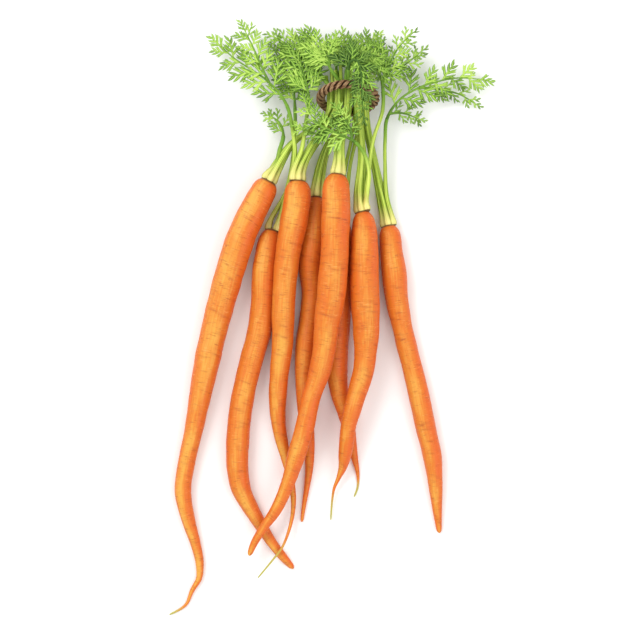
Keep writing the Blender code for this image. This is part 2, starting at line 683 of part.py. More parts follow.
def blade_between(outline):
    """The closed blade inside an outline of places and half thicknesses, its two faces split alike."""
    flat = [Vector((place.x, place.y, 0)) for place, _ in outline]
    count = len(outline)
    faces = []
    for a, b, c in tessellate_polygon([flat]):
        if (flat[b] - flat[a]).cross(flat[c] - flat[a]).z < 0:
            b, c = c, b
        faces.append((a + count, b + count, c + count))
        faces.append((c, b, a))
    for i in range(count):
        j = (i + 1) % count
        faces.append((i, j, j + count, i + count))
    low = [place - Vector((0, 0, half)) for place, half in outline]
    high = [place + Vector((0, 0, half)) for place, half in outline]
    return mesh_object("spray", low + high, faces)


def build_frond(name):
    pieces = []
    before = frond_route(name)[-1]
    for rows, leaflets, longest in FRONDS[name][3]:
        pieces.append(blade_between(spray_outline(rows, leaflets, longest, before)))
        before = None
    return fuse(name, pieces)


def finish(made, kind):
    """Gives the object its own material and smooth shading."""
    red, green, blue, roughness = COLOURS[kind]
    material = bpy.data.materials.new(made.name)
    material.use_nodes = True
    shader = material.node_tree.nodes["Principled BSDF"]
    shader.inputs["Base Color"].default_value = (red, green, blue, 1)
    shader.inputs["Roughness"].default_value = roughness
    shader.inputs["Metallic"].default_value = 0
    made.data.materials.clear()
    made.data.materials.append(material)
    made.data.shade_smooth()
    made.data.set_sharp_from_angle(angle=math.radians(SHARP_ANGLE))


def main():
    for old in list(bpy.data.objects):
        bpy.data.objects.remove(old)
    for root in ROOTS:
        finish(build_root(root), "carrot")
    for root in ROOTS:
        finish(build_stalks(root), "stalks")
    finish(build_tie(), "tie")
    for name in FRONDS:
        finish(build_frond(name), "frond")


main()
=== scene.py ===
"""The looks of a bunch of carrots laid on a table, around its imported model: finer roots, leaf stalks,
fronds and cord that stand for the plain solids, their finishes, and the stage. The tables and the
functions work in millimetres, with +Y towards the leaves and +Z up; the finished meshes are in metres."""

import math
import random

import bpy
import numpy as np
from bpy.props import FloatProperty, FloatVectorProperty, IntProperty, PointerProperty
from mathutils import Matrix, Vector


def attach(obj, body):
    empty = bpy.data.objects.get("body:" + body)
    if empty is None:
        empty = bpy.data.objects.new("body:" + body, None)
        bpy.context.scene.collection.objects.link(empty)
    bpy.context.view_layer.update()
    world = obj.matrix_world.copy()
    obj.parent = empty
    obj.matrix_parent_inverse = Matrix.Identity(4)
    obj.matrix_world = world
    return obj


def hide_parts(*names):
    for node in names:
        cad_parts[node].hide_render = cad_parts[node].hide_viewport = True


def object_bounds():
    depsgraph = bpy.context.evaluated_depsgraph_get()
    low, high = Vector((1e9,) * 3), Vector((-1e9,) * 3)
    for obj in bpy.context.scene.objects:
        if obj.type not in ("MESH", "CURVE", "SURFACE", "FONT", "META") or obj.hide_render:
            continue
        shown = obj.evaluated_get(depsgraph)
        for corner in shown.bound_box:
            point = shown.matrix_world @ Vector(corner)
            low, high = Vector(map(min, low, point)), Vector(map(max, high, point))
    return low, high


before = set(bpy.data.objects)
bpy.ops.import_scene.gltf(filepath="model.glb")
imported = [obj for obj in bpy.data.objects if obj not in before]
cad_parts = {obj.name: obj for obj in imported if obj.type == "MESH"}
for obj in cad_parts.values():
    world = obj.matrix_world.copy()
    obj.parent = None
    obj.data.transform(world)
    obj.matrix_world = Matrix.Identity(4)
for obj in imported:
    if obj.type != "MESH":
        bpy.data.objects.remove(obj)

bl_info = {
    "name": "Bunch of Carrots",
    "version": (1, 0, 0),
    "blender": (4, 5, 0),
    "location": "View3D > Sidebar > Carrots",
    "description": "Roots, leaf stalks, fronds and cord of a bunch of carrots",
    "category": "Object",
}

CAD_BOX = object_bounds()
MM = 0.001

# Where the part's origin lies in the coordinates of the tables.
MIDDLE = (0.7, 0.7, 0.0)

# Roots. Each entry is one point of the centre line, from the crown to the tail: x, y, the height of the
# root's underside above the table, and the root's radius there.
ROOTS = {
    "carrot_1": [
        (-37.0, 83.0, 4.5, 7.8), (-43.5, 71.0, 4.2, 8.5), (-53.5, 50.0, 3.4, 9.1),
        (-59.5, 32.0, 2.0, 9.1), (-65.0, 13.0, 0.8, 8.8), (-70.0, -6.0, 0.0, 8.3),
        (-74.0, -23.5, 0.0, 8.1), (-79.0, -48.0, 0.0, 6.8), (-82.5, -66.5, 0.0, 5.8),
        (-86.5, -84.5, 0.0, 5.4), (-89.0, -103.0, 0.0, 5.2), (-85.5, -121.5, 0.0, 4.2),
        (-81.5, -135.0, 0.0, 3.2), (-79.0, -147.5, 0.0, 2.5), (-79.5, -156.0, 0.0, 1.9),
        (-83.5, -163.0, 0.0, 1.4), (-87.5, -172.0, 0.0, 0.9), (-97.5, -178.0, 0.0, 0.5),
    ],
    "carrot_2": [
        (-35.5, 54.0, 0.0, 6.0), (-37.5, 44.5, 0.0, 7.2), (-39.5, 32.0, 0.0, 7.8),
        (-40.5, 13.0, 0.0, 7.8), (-42.5, -5.0, 0.0, 7.7), (-47.5, -23.5, 0.0, 7.3),
        (-52.0, -42.0, 0.0, 7.2), (-54.5, -57.0, 0.0, 7.3), (-56.0, -75.0, 0.0, 7.2),
        (-56.0, -90.0, 0.0, 6.8), (-53.5, -103.0, 0.0, 6.0), (-49.0, -112.0, 0.0, 5.1),
        (-43.5, -121.5, 0.0, 4.2), (-35.0, -135.0, 0.0, 3.1), (-27.5, -144.5, 0.0, 2.5),
        (-22.5, -150.0, 0.0, 1.5),
    ],
    "carrot_3": [
        (-19.5, 83.0, 8.9, 7.5), (-20.0, 73.0, 9.0, 8.5), (-22.0, 59.5, 9.0, 8.6),
        (-25.5, 41.0, 9.0, 7.9), (-27.5, 22.5, 9.0, 7.4), (-28.5, 4.0, 8.8, 7.2),
        (-29.0, -14.5, 6.2, 6.6), (-31.0, -32.5, 4.0, 6.0), (-32.0, -48.0, 2.2, 5.5),
        (-31.5, -62.0, 1.3, 4.6), (-30.0, -71.0, 1.0, 4.0), (-27.0, -83.5, 1.5, 3.1),
        (-23.5, -99.0, 2.5, 2.0), (-22.5, -108.0, 3.1, 1.7), (-23.0, -117.0, 4.3, 1.3),
        (-25.0, -126.0, 5.5, 1.0), (-30.0, -138.0, 6.6, 0.7), (-35.0, -144.5, 5.6, 0.6),
        (-44.0, -155.5, 3.7, 0.5),
    ],
    "carrot_4": [
        (-8.5, 74.0, 0.0, 5.4), (-9.5, 63.0, 0.0, 6.9), (-10.5, 50.0, 0.0, 7.8),
        (-12.5, 32.0, 0.0, 7.4), (-11.5, 17.0, 0.0, 6.4), (-12.5, 4.0, 0.0, 6.3),
        (-15.0, -14.5, 0.0, 6.6), (-16.0, -32.5, 0.0, 5.9), (-15.5, -48.0, 0.0, 5.4),
        (-15.0, -59.0, 0.0, 4.9), (-13.5, -72.0, 0.0, 4.0), (-13.0, -89.0, 0.0, 2.6),
        (-14.5, -101.5, 0.0, 1.8), (-16.5, -114.0, 0.0, 1.3), (-17.5, -122.0, 0.0, 0.9),
    ],
    "carrot_5": [
        (4.0, 86.5, 16.0, 7.2), (3.0, 78.0, 15.8, 8.5), (3.0, 67.0, 15.3, 9.1),
        (2.5, 51.5, 15.1, 8.9), (2.0, 36.5, 15.0, 8.9), (1.0, 25.0, 14.8, 9.1),
        (0.0, 13.5, 14.5, 9.1), (-2.5, -2.0, 14.2, 8.0), (-4.0, -17.0, 13.0, 7.3),
        (-6.5, -30.0, 12.0, 6.8), (-12.0, -47.0, 11.7, 5.9), (-15.5, -63.5, 10.9, 6.0),
        (-20.5, -80.5, 9.6, 5.7), (-25.5, -97.0, 8.9, 4.4), (-33.0, -114.0, 8.4, 3.6),
        (-42.0, -127.0, 8.4, 2.6), (-46.5, -135.0, 8.2, 2.2), (-49.0, -141.5, 8.0, 1.5),
    ],
    "carrot_6": [
        (6.5, 59.0, 0.0, 5.7), (6.5, 48.0, 0.0, 7.0), (6.0, 32.5, 0.0, 7.3),
        (5.5, 12.0, 0.0, 7.3), (4.0, -12.0, 0.0, 7.1), (3.5, -30.0, 0.0, 6.8),
        (5.0, -42.5, 0.0, 5.9), (8.5, -55.0, 0.0, 5.1), (10.5, -63.5, 0.0, 4.3),
        (12.0, -72.0, 0.0, 3.5), (14.5, -84.0, 0.0, 2.1), (16.0, -91.0, 0.0, 1.3),
        (16.5, -96.5, 0.0, 0.8), (16.0, -102.0, 0.0, 0.6), (14.0, -107.0, 0.0, 0.5),
    ],
    "carrot_7": [
        (18.5, 64.5, 10.6, 6.0), (19.5, 59.0, 10.3, 7.0), (20.0, 48.0, 8.8, 8.4),
        (20.0, 32.5, 8.3, 8.9), (20.0, 21.0, 8.0, 9.2), (20.5, 9.5, 7.9, 9.0),
        (21.0, -5.5, 8.2, 8.3), (20.5, -21.0, 9.2, 7.0), (19.5, -30.0, 9.5, 6.6),
        (16.0, -42.5, 9.9, 6.1), (12.5, -55.0, 10.7, 5.4), (10.5, -63.5, 9.9, 4.9),
        (9.5, -72.0, 8.2, 4.7), (8.5, -80.5, 6.1, 4.2), (7.0, -89.0, 4.4, 2.6),
        (4.5, -95.5, 3.6, 1.4), (2.0, -101.5, 2.9, 0.9), (1.0, -107.5, 2.2, 0.7),
        (0.0, -121.0, 0.9, 0.5),
    ],
    "carrot_8": [
        (34.5, 56.5, 0.0, 6.0), (35.5, 51.0, 0.0, 6.8), (36.5, 40.0, 0.0, 7.3),
        (38.0, 29.0, 0.0, 7.9), (39.5, 13.5, 0.0, 7.4), (42.5, -2.0, 0.0, 6.5),
        (46.0, -17.0, 0.0, 6.4), (49.5, -30.5, 0.0, 6.4), (53.5, -47.5, 0.0, 6.6),
        (57.5, -66.5, 0.0, 6.3), (61.0, -81.5, 0.0, 5.9), (62.5, -93.5, 0.0, 5.0),
        (63.5, -105.5, 0.0, 3.9), (64.5, -118.0, 0.0, 2.6), (65.5, -128.5, 0.0, 1.5),
    ],
}

# Leaf stalks. Those of one root pass through the tie side by side: the middle of their lanes, across and
# up from the tie's middle, the number of lanes, and the points passed on the way there.
LANES = {
    "carrot_1": (-10.2, 0.0, 3, [(-24.5, 104.0, 13.5)]),
    "carrot_2": (-6.0, -4.7, 2, [(-28.0, 72.0, 5.6), (-16.5, 94.0, 6.2), (-5.0, 112.0, 7.8)]),
    "carrot_3": (-5.4, 4.3, 3, [(-12.5, 102.0, 18.0)]),
    "carrot_4": (-0.3, -4.9, 3, [(-2.0, 104.0, 8.2)]),
    "carrot_5": (0.2, 4.6, 3, [(5.5, 104.0, 21.6)]),
    "carrot_6": (5.6, -4.7, 2, [(9.5, 88.0, 7.4)]),
    "carrot_7": (5.9, 4.3, 3, [(18.6, 98.0, 18.0)]),
    "carrot_8": (10.2, 0.0, 3, [(27.0, 90.0, 10.5)]),
}

# Fronds: the root that each grows on, the lane in the tie of its stalk, or none, the points that the stalk
# passes, and the frond's sprays, as the points of the rib, the number of leaflets and the longest one.
FRONDS = {
    "frond_1": ("carrot_3", None, [(-21.5, 102.0, 19.5), (-23.0, 114.0, 21.0)], [
        ([(-26.0, 127.0, 21.5), (-38.4, 142.8, 20.5), (-48.6, 150.0, 17.5), (-57.0, 155.8, 14.5),
          (-64.5, 162.5, 11.5)], 8, 19.0),
        ([(-37.0, 141.3, 20.6), (-42.0, 152.4, 22.2), (-45.8, 161.0, 21.5), (-50.5, 171.0, 18.0)], 7, 15.0),
    ]),
    "frond_2": ("carrot_1", None, [(-33.0, 93.0, 12.5), (-30.5, 102.0, 12.5)], [
        ([(-28.5, 110.0, 12.5), (-29.5, 116.0, 12.5), (-32.0, 119.5, 12.0), (-36.0, 121.8, 11.0)], 5, 10.0),
    ]),
    "frond_3": ("carrot_3", None, [(-17.3, 102.0, 20.5), (-15.0, 117.0, 20.5)], [
        ([(-13.2, 131.0, 19.5), (-16.2, 147.0, 17.5), (-18.8, 157.2, 16.0), (-21.0, 164.5, 14.5)], 9, 17.0),
        ([(-18.6, 156.2, 16.1), (-25.0, 164.0, 12.5), (-33.0, 169.0, 9.5)], 5, 12.0),
    ]),
    "frond_4": ("carrot_3", 2, [], [
        ([(0.5, 148.0, 23.0), (-3.6, 155.4, 24.0), (-8.0, 162.0, 22.5), (-12.5, 166.5, 20.0)], 7, 16.0),
        ([(-1.0, 151.0, 23.6), (-0.6, 158.0, 26.0), (1.5, 165.0, 26.0)], 5, 11.0),
    ]),
    "frond_5": ("carrot_4", 2, [(7.0, 143.0, 11.5)], [
        ([(3.5, 149.0, 12.0), (4.0, 156.0, 11.5), (5.2, 162.0, 10.5), (6.2, 167.5, 9.5)], 7, 14.0),
    ]),
    "frond_6": ("carrot_5", 0, [(9.0, 144.0, 19.5)], [
        ([(9.5, 149.0, 19.5), (13.0, 156.6, 16.5), (18.0, 163.0, 13.0), (23.5, 167.5, 10.5)], 7, 15.0),
    ]),
    "frond_7": ("carrot_7", 2, [(15.4, 146.0, 22.2)], [
        ([(15.5, 149.5, 23.6), (17.3, 155.0, 25.0), (22.8, 158.0, 25.2), (28.0, 154.0, 24.4),
          (31.0, 146.5, 23.0)], 7, 12.0),
    ]),
    "frond_8": ("carrot_5", 2, [(10.8, 143.0, 23.3)], [
        ([(10.4, 148.5, 27.2), (11.6, 153.0, 30.2), (15.0, 153.6, 32.0), (17.4, 148.5, 32.6),
          (18.0, 140.0, 32.6), (18.3, 131.0, 32.0), (19.0, 123.5, 30.5)], 9, 14.0),
    ]),
    "frond_9": ("carrot_7", None, [(22.5, 88.0, 18.5), (25.5, 108.0, 19.0), (31.0, 126.0, 17.5)], [
        ([(31.0, 138.0, 17.5), (29.8, 145.0, 18.6), (28.8, 153.0, 19.4), (29.0, 160.0, 19.2),
          (28.4, 166.0, 18.4)], 5, 11.0),
        ([(30.4, 141.0, 17.7), (33.6, 147.0, 17.5), (37.0, 157.0, 15.5), (41.0, 163.5, 14.0),
          (46.0, 169.0, 12.5)], 6, 13.0),
        ([(31.6, 143.5, 17.6), (39.0, 149.5, 15.0), (46.0, 154.0, 12.4), (52.5, 159.5, 10.0)], 5, 12.0),
    ]),
    "frond_10": ("carrot_8", None, [(33.5, 74.0, 8.5), (32.5, 92.0, 10.5), (32.5, 108.0, 12.0)], [
        ([(33.5, 120.0, 12.5), (40.8, 131.5, 12.0), (52.0, 138.8, 11.0), (66.0, 143.5, 9.5),
          (77.0, 145.3, 8.2), (87.5, 144.8, 6.8)], 9, 18.0),
        ([(53.0, 139.3, 10.9), (61.0, 139.0, 7.8), (70.0, 137.8, 6.0), (79.0, 135.0, 5.2),
          (85.5, 131.0, 4.6)], 6, 11.0),
        ([(35.0, 123.5, 12.4), (43.0, 124.0, 10.0), (52.0, 121.0, 7.5)], 5, 9.5),
    ]),
    "frond_11": ("carrot_7", None, [(21.5, 76.0, 23.0), (22.5, 88.0, 25.5), (19.8, 98.4, 26.5)], [
        ([(14.4, 105.3, 27.2), (4.2, 110.4, 28.2), (-5.4, 115.0, 28.4), (-11.5, 121.0, 27.6),
          (-14.5, 127.0, 26.6)], 7, 15.0),
        ([(12.2, 106.6, 27.4), (11.5, 113.4, 29.6), (8.0, 119.0, 30.4), (4.5, 123.5, 30.4)], 5, 11.0),
        ([(1.5, 111.7, 28.2), (-6.5, 110.4, 25.8), (-15.0, 112.0, 25.0), (-20.5, 114.5, 25.0)], 5, 9.0),
    ]),
    "frond_12": ("carrot_2", None, [(-28.5, 70.0, 5.6), (-24.0, 90.0, 6.0), (-22.0, 106.0, 7.0)], [
        ([(-21.5, 126.0, 10.0), (-22.5, 138.0, 10.0), (-27.0, 150.0, 8.5), (-32.0, 159.0, 6.5)], 7, 16.0),
    ]),
    "frond_13": ("carrot_1", 2, [(-3.0, 142.0, 16.0)], [
        ([(-6.5, 147.5, 15.0), (-11.0, 155.0, 12.5), (-15.0, 163.0, 9.0)], 6, 14.0),
    ]),
    "frond_14": ("carrot_8", 2, [(20.4, 142.0, 15.0)], [
        ([(20.4, 147.0, 13.5), (23.5, 155.0, 9.4), (28.6, 162.0, 5.6)], 6, 11.0),
    ]),
}

# Lines: the steps from one of their points to the next, on roots and on the rest, and the least distance
# that counts between two points.
ROOT_STEPS, LINE_STEPS, LEAST_SPAN = 8, 12, 1e-6

# Tubes: how far the smaller rings reach into their ends, and the angle past which an edge stays sharp.
CAP_INSET, CREASE_ANGLE = 0.8, math.radians(50)

# Roots: the sides of their tubes in the source, how far they sink into the table, how their points gather
# at crown and tail, their share of the full radius, the shoulder, the round tip, and how the ends bulge.
SOURCE_SIDES = 12
ROOT_BOTTOM_SHARE = math.cos(math.pi / SOURCE_SIDES)
TABLE_DIP = 0.08
ROOT_GATHERED, ROOT_FIT = (1.2, 1.15), 0.985
SHOULDER, CROWN_SHARE = 6.5, 0.58
TIP_ROUNDED, TIP_ROUNDING = 2.6, 0.92
ROOT_BULGES = (-0.24, 0.12)

# Slow swellings along a root and its cross-section, which isn't quite round: the range of their lengths,
# their size, and the radii between which the swellings come in.
ANY_TURN = (0, 6.3)
SWELLINGS, SWELLING, SWELLING_SLANT, SWELLING_RADII = ((13.0, 18.0), (22.0, 30.0)), 0.009, 0.5, (2.0, 5.0)
SECTION_LOBES, OUT_OF_ROUND, SECTION_DRIFT = (2, 3, 5), 0.016, (60, 120)

# Pressed rings: where the first may be, how far round each goes, its width and strength, its slant, the
# most that they add up to, and the radii between which they come in.
FIRST_RING = 4
RING_REACHES, RING_WIDTHS, RING_STRENGTHS = (0.35, 1.3), (0.45, 0.8), (0.3, 1.0)
RING_SLANT, STRONGEST_RING, RING_RADII = 0.6, 1.2, (0.8, 4.0)

# Tones of a root: the sway of its painted highlight, a yellower band along its top, the redder shoulder, the
# line round the crown, the radii between which the tail turns olive, the place of the pale rings in their
# pattern, and how much darker or lighter than the rest a root is.
HIGHLIGHT_SWAY, HIGHLIGHT_SWAY_LENGTH = 0.25, 31
PALE_RING_SHIFT = (31.0, 17.0, 73.0)
RED_SHOULDER, SHOULDER_TONE = (26.0, 4.0), -0.24
CROWN_LINE, THIN_TAIL = (1.6, 0.2), (0.9, 0.52)
# Partly painted shade: carrot_4 and carrot_6, which lie on the table under others, are the darkest.
ROOT_TONES_AND_SHADE = {
    "carrot_2": -0.10, "carrot_4": -0.30, "carrot_5": -0.14, "carrot_6": -0.30, "carrot_7": -0.14,
    "carrot_8": -0.12,
}

# The tie, an oval ring whose top leans towards the leaves.
TIE_X, TIE_Y, TIE_Z = 10.2, 132.5, 14.6
TIE_HALF_WIDTH, TIE_HALF_HEIGHT, TIE_LEAN = 16.4, 11.2, 7.5

# Its cord: the strands, how far from the ring they are laid as a share of their radius, the stations to
# each lay, the yarns in a strand with the depth between them, and the strand as its fibres see it.
STRANDS, LAY_SHARE, LAY_STATIONS, BEVEL_STEPS = 3, 0.93, 14, 4
YARNS, YARN_DEPTH = 5, 0.07
CORD_SKIN_RADIUS, STATION_RUN = 1.5, 0.8

# Where stalks start on the crown: the length of root that gives its direction, how deep they start, and the
# places of their feet, across and up, for the three lanes and for a free stalk.
CROWN_AIM, SUNK = 0.9, 0.25
FOOT_OFFSETS = ((-2.5, -0.9), (2.5, -0.9), (0.0, 2.1))
FREE_FOOT = (3.3, 2.6)

# How they pass through the tie, and how those without a frond end past it.
LANE_OFFSETS = ((-1.4, -0.8), (1.4, -0.8), (0.0, 1.7))
LANE_HALF_LENGTH = 5.0
STUB_LENGTHS = (9.0, 12.0, 7.5)
STUB_DROP, HALFWAY_DROP, STUB_SPREAD = 2.5, 0.3, 0.12

# Their form: the radii at the foot, past its flare and far out, the round foot, and how the ends bulge.
# Their shades: where the fibres' pattern starts, how narrow the painted shade along their sides is, and the
# greener far end.
STALK_RADII, STALK_FIT, STALK_GATHERED = (2.9, 1.6, 1.15), 0.97, 1.5
STALK_FLARE, STALK_THINNING = 9.0, 30.0
FOOT_ROUNDED, FOOT_ROUNDING = 2.8, 0.38
STALK_BULGES = (-0.4, 0.4)
STALK_SKIN_RADIUS, STALK_SKIN_STARTS = 1.5, (0, 900)
SIDE_SHADE_POWER, GREENER_END = 3, (24.0, 1.0)

# Fronds: the rib, and the leaflets that it bears on alternate sides. Most fronds have a smaller leaflet
# opposite each, the open ones only at the last. Two bear early ones, where they bend over the tie.
RIB_STATIONS, RIB_RADII = (0.0, 0.16, 1.0), (1.05, 0.72, 0.36)
RIB_VEIN, RIB_REACH, RIB_TONE = 0.6, 0.2, 0.08
LEAFLET_SPAN, LAST_LEAFLET = (0.16, 0.84), 0.92
EARLY_LEAFLETS = {"frond_7": (0.03, 0.09), "frond_8": (0.03, 0.09)}
OPEN_FRONDS = ("frond_1", "frond_2", "frond_10")
LEAFLET_ANGLES, LEAFLET_AIM = (58.0, 36.0), 3.0
ANGLE_SWAY, ANGLE_WAVE = 3.0, 2.4
LEAFLET_SHRINK, TIP_LEAFLET = 0.40, 0.65
LENGTH_SWAY, LENGTH_WAVE = 0.08, 4.1
OPPOSITE_LEAFLET, OPPOSITE_SHRINK, OPPOSITE_RISE = 0.84, 0.50, 0.4

# A leaflet: how it rises, droops, arches and sways, its tone, the length with the full width and the shares
# of it that others have, the length under which it has fewer pairs of lobes, and the width of its vein.
LEAFLET_RISE, LEAFLET_DROOP, LEAFLET_ARCH, LEAFLET_SWAY = 0.08, 0.18, 0.12, 0.15
MIDDLE_TONE, LEAFLET_TONE, LOBE_TONE = 0.5, 0.30, 0.26
FULL_LEAFLET, LEAFLET_WIDTHS = 13, (0.7, 1.1)
SMALL_LEAFLET, SMALL_PAIRS, FULL_PAIRS = 9.5, 2, 3
VEIN_SHARE = 0.75

# Its lobes: the part of the vein that bears them, their angles and lengths from the lowest to the highest,
# how these vary, and the widths along each. The lower ones bear a tooth, whose turn is in radians.
LOBED_PART, LOBE_ANGLES, LOBE_REACH = (0.12, 0.74), (46.0, 30.0), (0.54, 0.36)
START_SWAY, TURN_SWAY, REACH_SWAY = 0.015, 4, (0.9, 1.1)
LOBE_CURVE, LEAST_BEND = 0.4, 1e-3
LOBE_STATIONS, LOBE_WIDTHS = (0.0, 0.2, 0.5, 0.8, 1.0), (0.62, 0.88, 0.96, 0.56, 0.05)
TOOTHED_PART = 0.45
TOOTH_PLACE, TOOTH_TURN, TOOTH_LENGTH, TOOTH_WIDTH = 0.40, 0.55, 0.50, 0.8

# How much darker or lighter than the rest a frond is; the darker ones are partly painted shade, on fronds
# that lie low under others and on those that droop over the tie.
FROND_TONES_AND_SHADE = {
    "frond_1": 0.06, "frond_2": 0.05, "frond_4": 0.06, "frond_6": 0.06, "frond_7": -0.22, "frond_8": -0.36,
    "frond_11": -0.04, "frond_12": -0.12, "frond_13": -0.06, "frond_14": -0.16,
}

# The stage, in metres and watts: the table, the lamps with their places, sizes and powers, the light from
# all sides, and the camera.
TABLE_SIZE, TABLE_DROP = 6.0, 0.0002
LAMPS = {"window_light": ((-0.9, 0.9, 1.5), 0.9, 17.0), "fill_light": ((1.2, -0.6, 1.6), 1.4, 11.0)}
SURROUNDING_LIGHT = 0.96
CAMERA_PLACE, SENSOR_WIDTH = (-0.0072, -0.0008), 36.0


# Lines in space

def mix(a, b, share):
    return a + (b - a) * share


def ease(low, high, values):
    """0 at low, 1 at high, smooth in between, and level past either. High may be the smaller number."""
    share = np.clip((values - low) / (high - low), 0, 1)
    return share * share * (3 - 2 * share)


def wave(turn):
    """From 1 to 0 and back as a turn goes round."""
    return 0.5 + 0.5 * np.cos(turn)


def level_heading(start, end):
    """The direction from one place to another seen from above, as an angle."""
    return math.atan2(end[1] - start[1], end[0] - start[0])


def smooth(rows, steps, before=None, after=None):
    """Rows on a smooth curve through the given rows, with so many steps to each stretch. Its ends run on
    from the row before and towards the row after, where these are given."""
    padded = [before or rows[0], *rows, after or rows[-1]]
    spans = [max(math.dist(a[:3], b[:3]), LEAST_SPAN) for a, b in zip(padded, padded[1:])]
    slopes = []
    for i in range(len(rows)):
        back, ahead = spans[i], spans[i + 1]
        slopes.append([
            ((b - a) / back * ahead + (c - b) / ahead * back) / (back + ahead)
            for a, b, c in zip(padded[i], padded[i + 1], padded[i + 2])
        ])
    found = []
    for i in range(len(rows) - 1):
        span = spans[i + 1]
        for step in range(steps):
            t = step / steps
            found.append([
                (2 * t ** 3 - 3 * t ** 2 + 1) * a + (t ** 3 - 2 * t ** 2 + t) * span * m
                + (3 * t ** 2 - 2 * t ** 3) * b + (t ** 3 - t ** 2) * span * n
                for a, b, m, n in zip(rows[i], rows[i + 1], slopes[i], slopes[i + 1])
            ])
    return [*found, list(rows[-1])]


class Line:
    """A line through rows of numbers, the first three its place, that can be read at any distance along."""

    def __init__(self, rows):
        self.rows = np.array(rows, float)
        places = self.rows[:, :3]
        self.run = np.concatenate([[0], np.cumsum(np.linalg.norm(np.diff(places, axis=0), axis=1))])
        self.whole = self.run[-1]
        aims = np.gradient(places, axis=0)
        self.aims = aims / np.linalg.norm(aims, axis=1)[:, None]

    def read(self, table, distances):
        return np.stack([np.interp(distances, self.run, column) for column in table.T], axis=-1)

    def at(self, distances):
        """The rows at these distances."""
        return self.read(self.rows, distances)

    def axes(self, distances):
        """The level direction to the left, the one upwards and the one ahead, at these distances."""
        ahead = self.read(self.aims, distances)
        ahead /= np.linalg.norm(ahead, axis=-1)[..., None]
        right = np.cross(ahead, (0, 0, 1))
        right /= np.linalg.norm(right, axis=-1)[..., None]
        return -right, np.cross(right, ahead), ahead


def root_line(name):
    """A root's centre line, from its crown down, with its radius as the fourth number."""
    rows = []
    for x, y, underside, radius in ROOTS[name]:
        rows.append((x, y, (underside or -TABLE_DIP) + radius * ROOT_BOTTOM_SHARE, radius))
    return Line(smooth(rows, ROOT_STEPS))


def stalk_start(root, dx, dz):
    """The first points of a stalk, which leaves the crown square to it."""
    line = root_line(root)
    middle = line.at(0.0)[:3]
    out = middle - line.at(CROWN_AIM)[:3]
    out /= np.linalg.norm(out)
    side = np.cross(out, (0, 0, 1))
    side /= np.linalg.norm(side)
    foot = middle + side * dx + np.cross(side, out) * dz
    return [tuple(foot + out * distance) for distance in (-SUNK, STALK_FLARE / 3)]


def lane_route(root, number):
    """A stalk from its crown through the tie, which it crosses level."""
    across, up, _, waypoints = LANES[root]
    dx, dz = LANE_OFFSETS[number]
    passed = [(x + dx, y, z + dz) for x, y, z in waypoints]
    x, z = TIE_X + across + dx, TIE_Z + up + dz
    y = TIE_Y + TIE_LEAN * (up + dz) / TIE_HALF_HEIGHT
    lane = [(x, y - LANE_HALF_LENGTH, z), (x, y, z), (x, y + LANE_HALF_LENGTH, z)]
    return [*stalk_start(root, *FOOT_OFFSETS[number]), *passed, *lane]


def stub_route(root, number):
    """A stalk that ends past the tie, bent down a little."""
    rows = lane_route(root, number)
    x, y, z = rows[-1]
    reach = STUB_LENGTHS[number]
    lean = (x - TIE_X) * STUB_SPREAD
    halfway = (x + lean / 2, y + reach / 2, z - STUB_DROP * HALFWAY_DROP)
    return [*rows, halfway, (x + lean, y + reach, z - STUB_DROP)]


def frond_route(name):
    """The stalk that a frond grows on, from its crown up to the frond's first point."""
    root, number, passed, _ = FRONDS[name]
    if number is not None:
        return [*lane_route(root, number), *passed]
    free = [other for other in FRONDS if FRONDS[other][:2] == (root, None)]
    middle = root_line(root).at(0.0)
    through, beside = (np.array(rows[0][:2]) - middle[:2] for rows in (LANES[root][3], passed))
    to_the_right = through[1] * beside[0] - through[0] * beside[1]
    start = stalk_start(root, math.copysign(FREE_FOOT[0], to_the_right), FREE_FOOT[1] * free.index(name))
    return [*start, *passed]


def stalk_lines(root):
    """The centre lines of all stalks on one crown, and for each whether it bears a frond."""
    with_frond = {FRONDS[name][1] for name in FRONDS if FRONDS[name][0] == root}
    found = []
    for number in range(LANES[root][2]):
        if number not in with_frond:
            found.append((Line(smooth(stub_route(root, number), LINE_STEPS)), False))
    for name, (owner, _, _, sprays) in FRONDS.items():
        if owner == root:
            first, second = sprays[0][0][:2]
            found.append((Line(smooth([*frond_route(name), first], LINE_STEPS, after=second)), True))
    return found


# Meshes

def select_only(piece):
    """Leaves one object selected and active."""
    bpy.ops.object.select_all(action="DESELECT")
    piece.select_set(True)
    bpy.context.view_layer.objects.active = piece


def straight_tube(sides, rings, insets=0):
    """A straight tube one unit wide and long along Z, with so many smaller rings let into its ends."""
    bpy.ops.object.select_all(action="DESELECT")
    bpy.ops.mesh.primitive_circle_add(vertices=sides, radius=1, fill_type="NGON")
    made = bpy.context.object
    bpy.ops.object.mode_set(mode="EDIT")
    bpy.ops.mesh.select_all(action="SELECT")
    for _ in range(rings):
        bpy.ops.mesh.extrude_region_move(TRANSFORM_OT_translate={"value": (0, 0, 1 / rings)})
    bpy.ops.object.mode_set(mode="OBJECT")
    for part in (made.data.vertices, made.data.edges):
        part.foreach_set("select", np.zeros(len(part), bool))
    for face in made.data.polygons:
        face.select = abs(face.normal.z) > 0.5
    bpy.ops.object.mode_set(mode="EDIT")
    bpy.ops.mesh.select_mode(type="FACE")
    for _ in range(insets):
        bpy.ops.mesh.inset(thickness=CAP_INSET / insets)
    bpy.ops.mesh.select_all(action="SELECT")
    bpy.ops.mesh.normals_make_consistent(inside=False)
    bpy.ops.object.mode_set(mode="OBJECT")
    return made


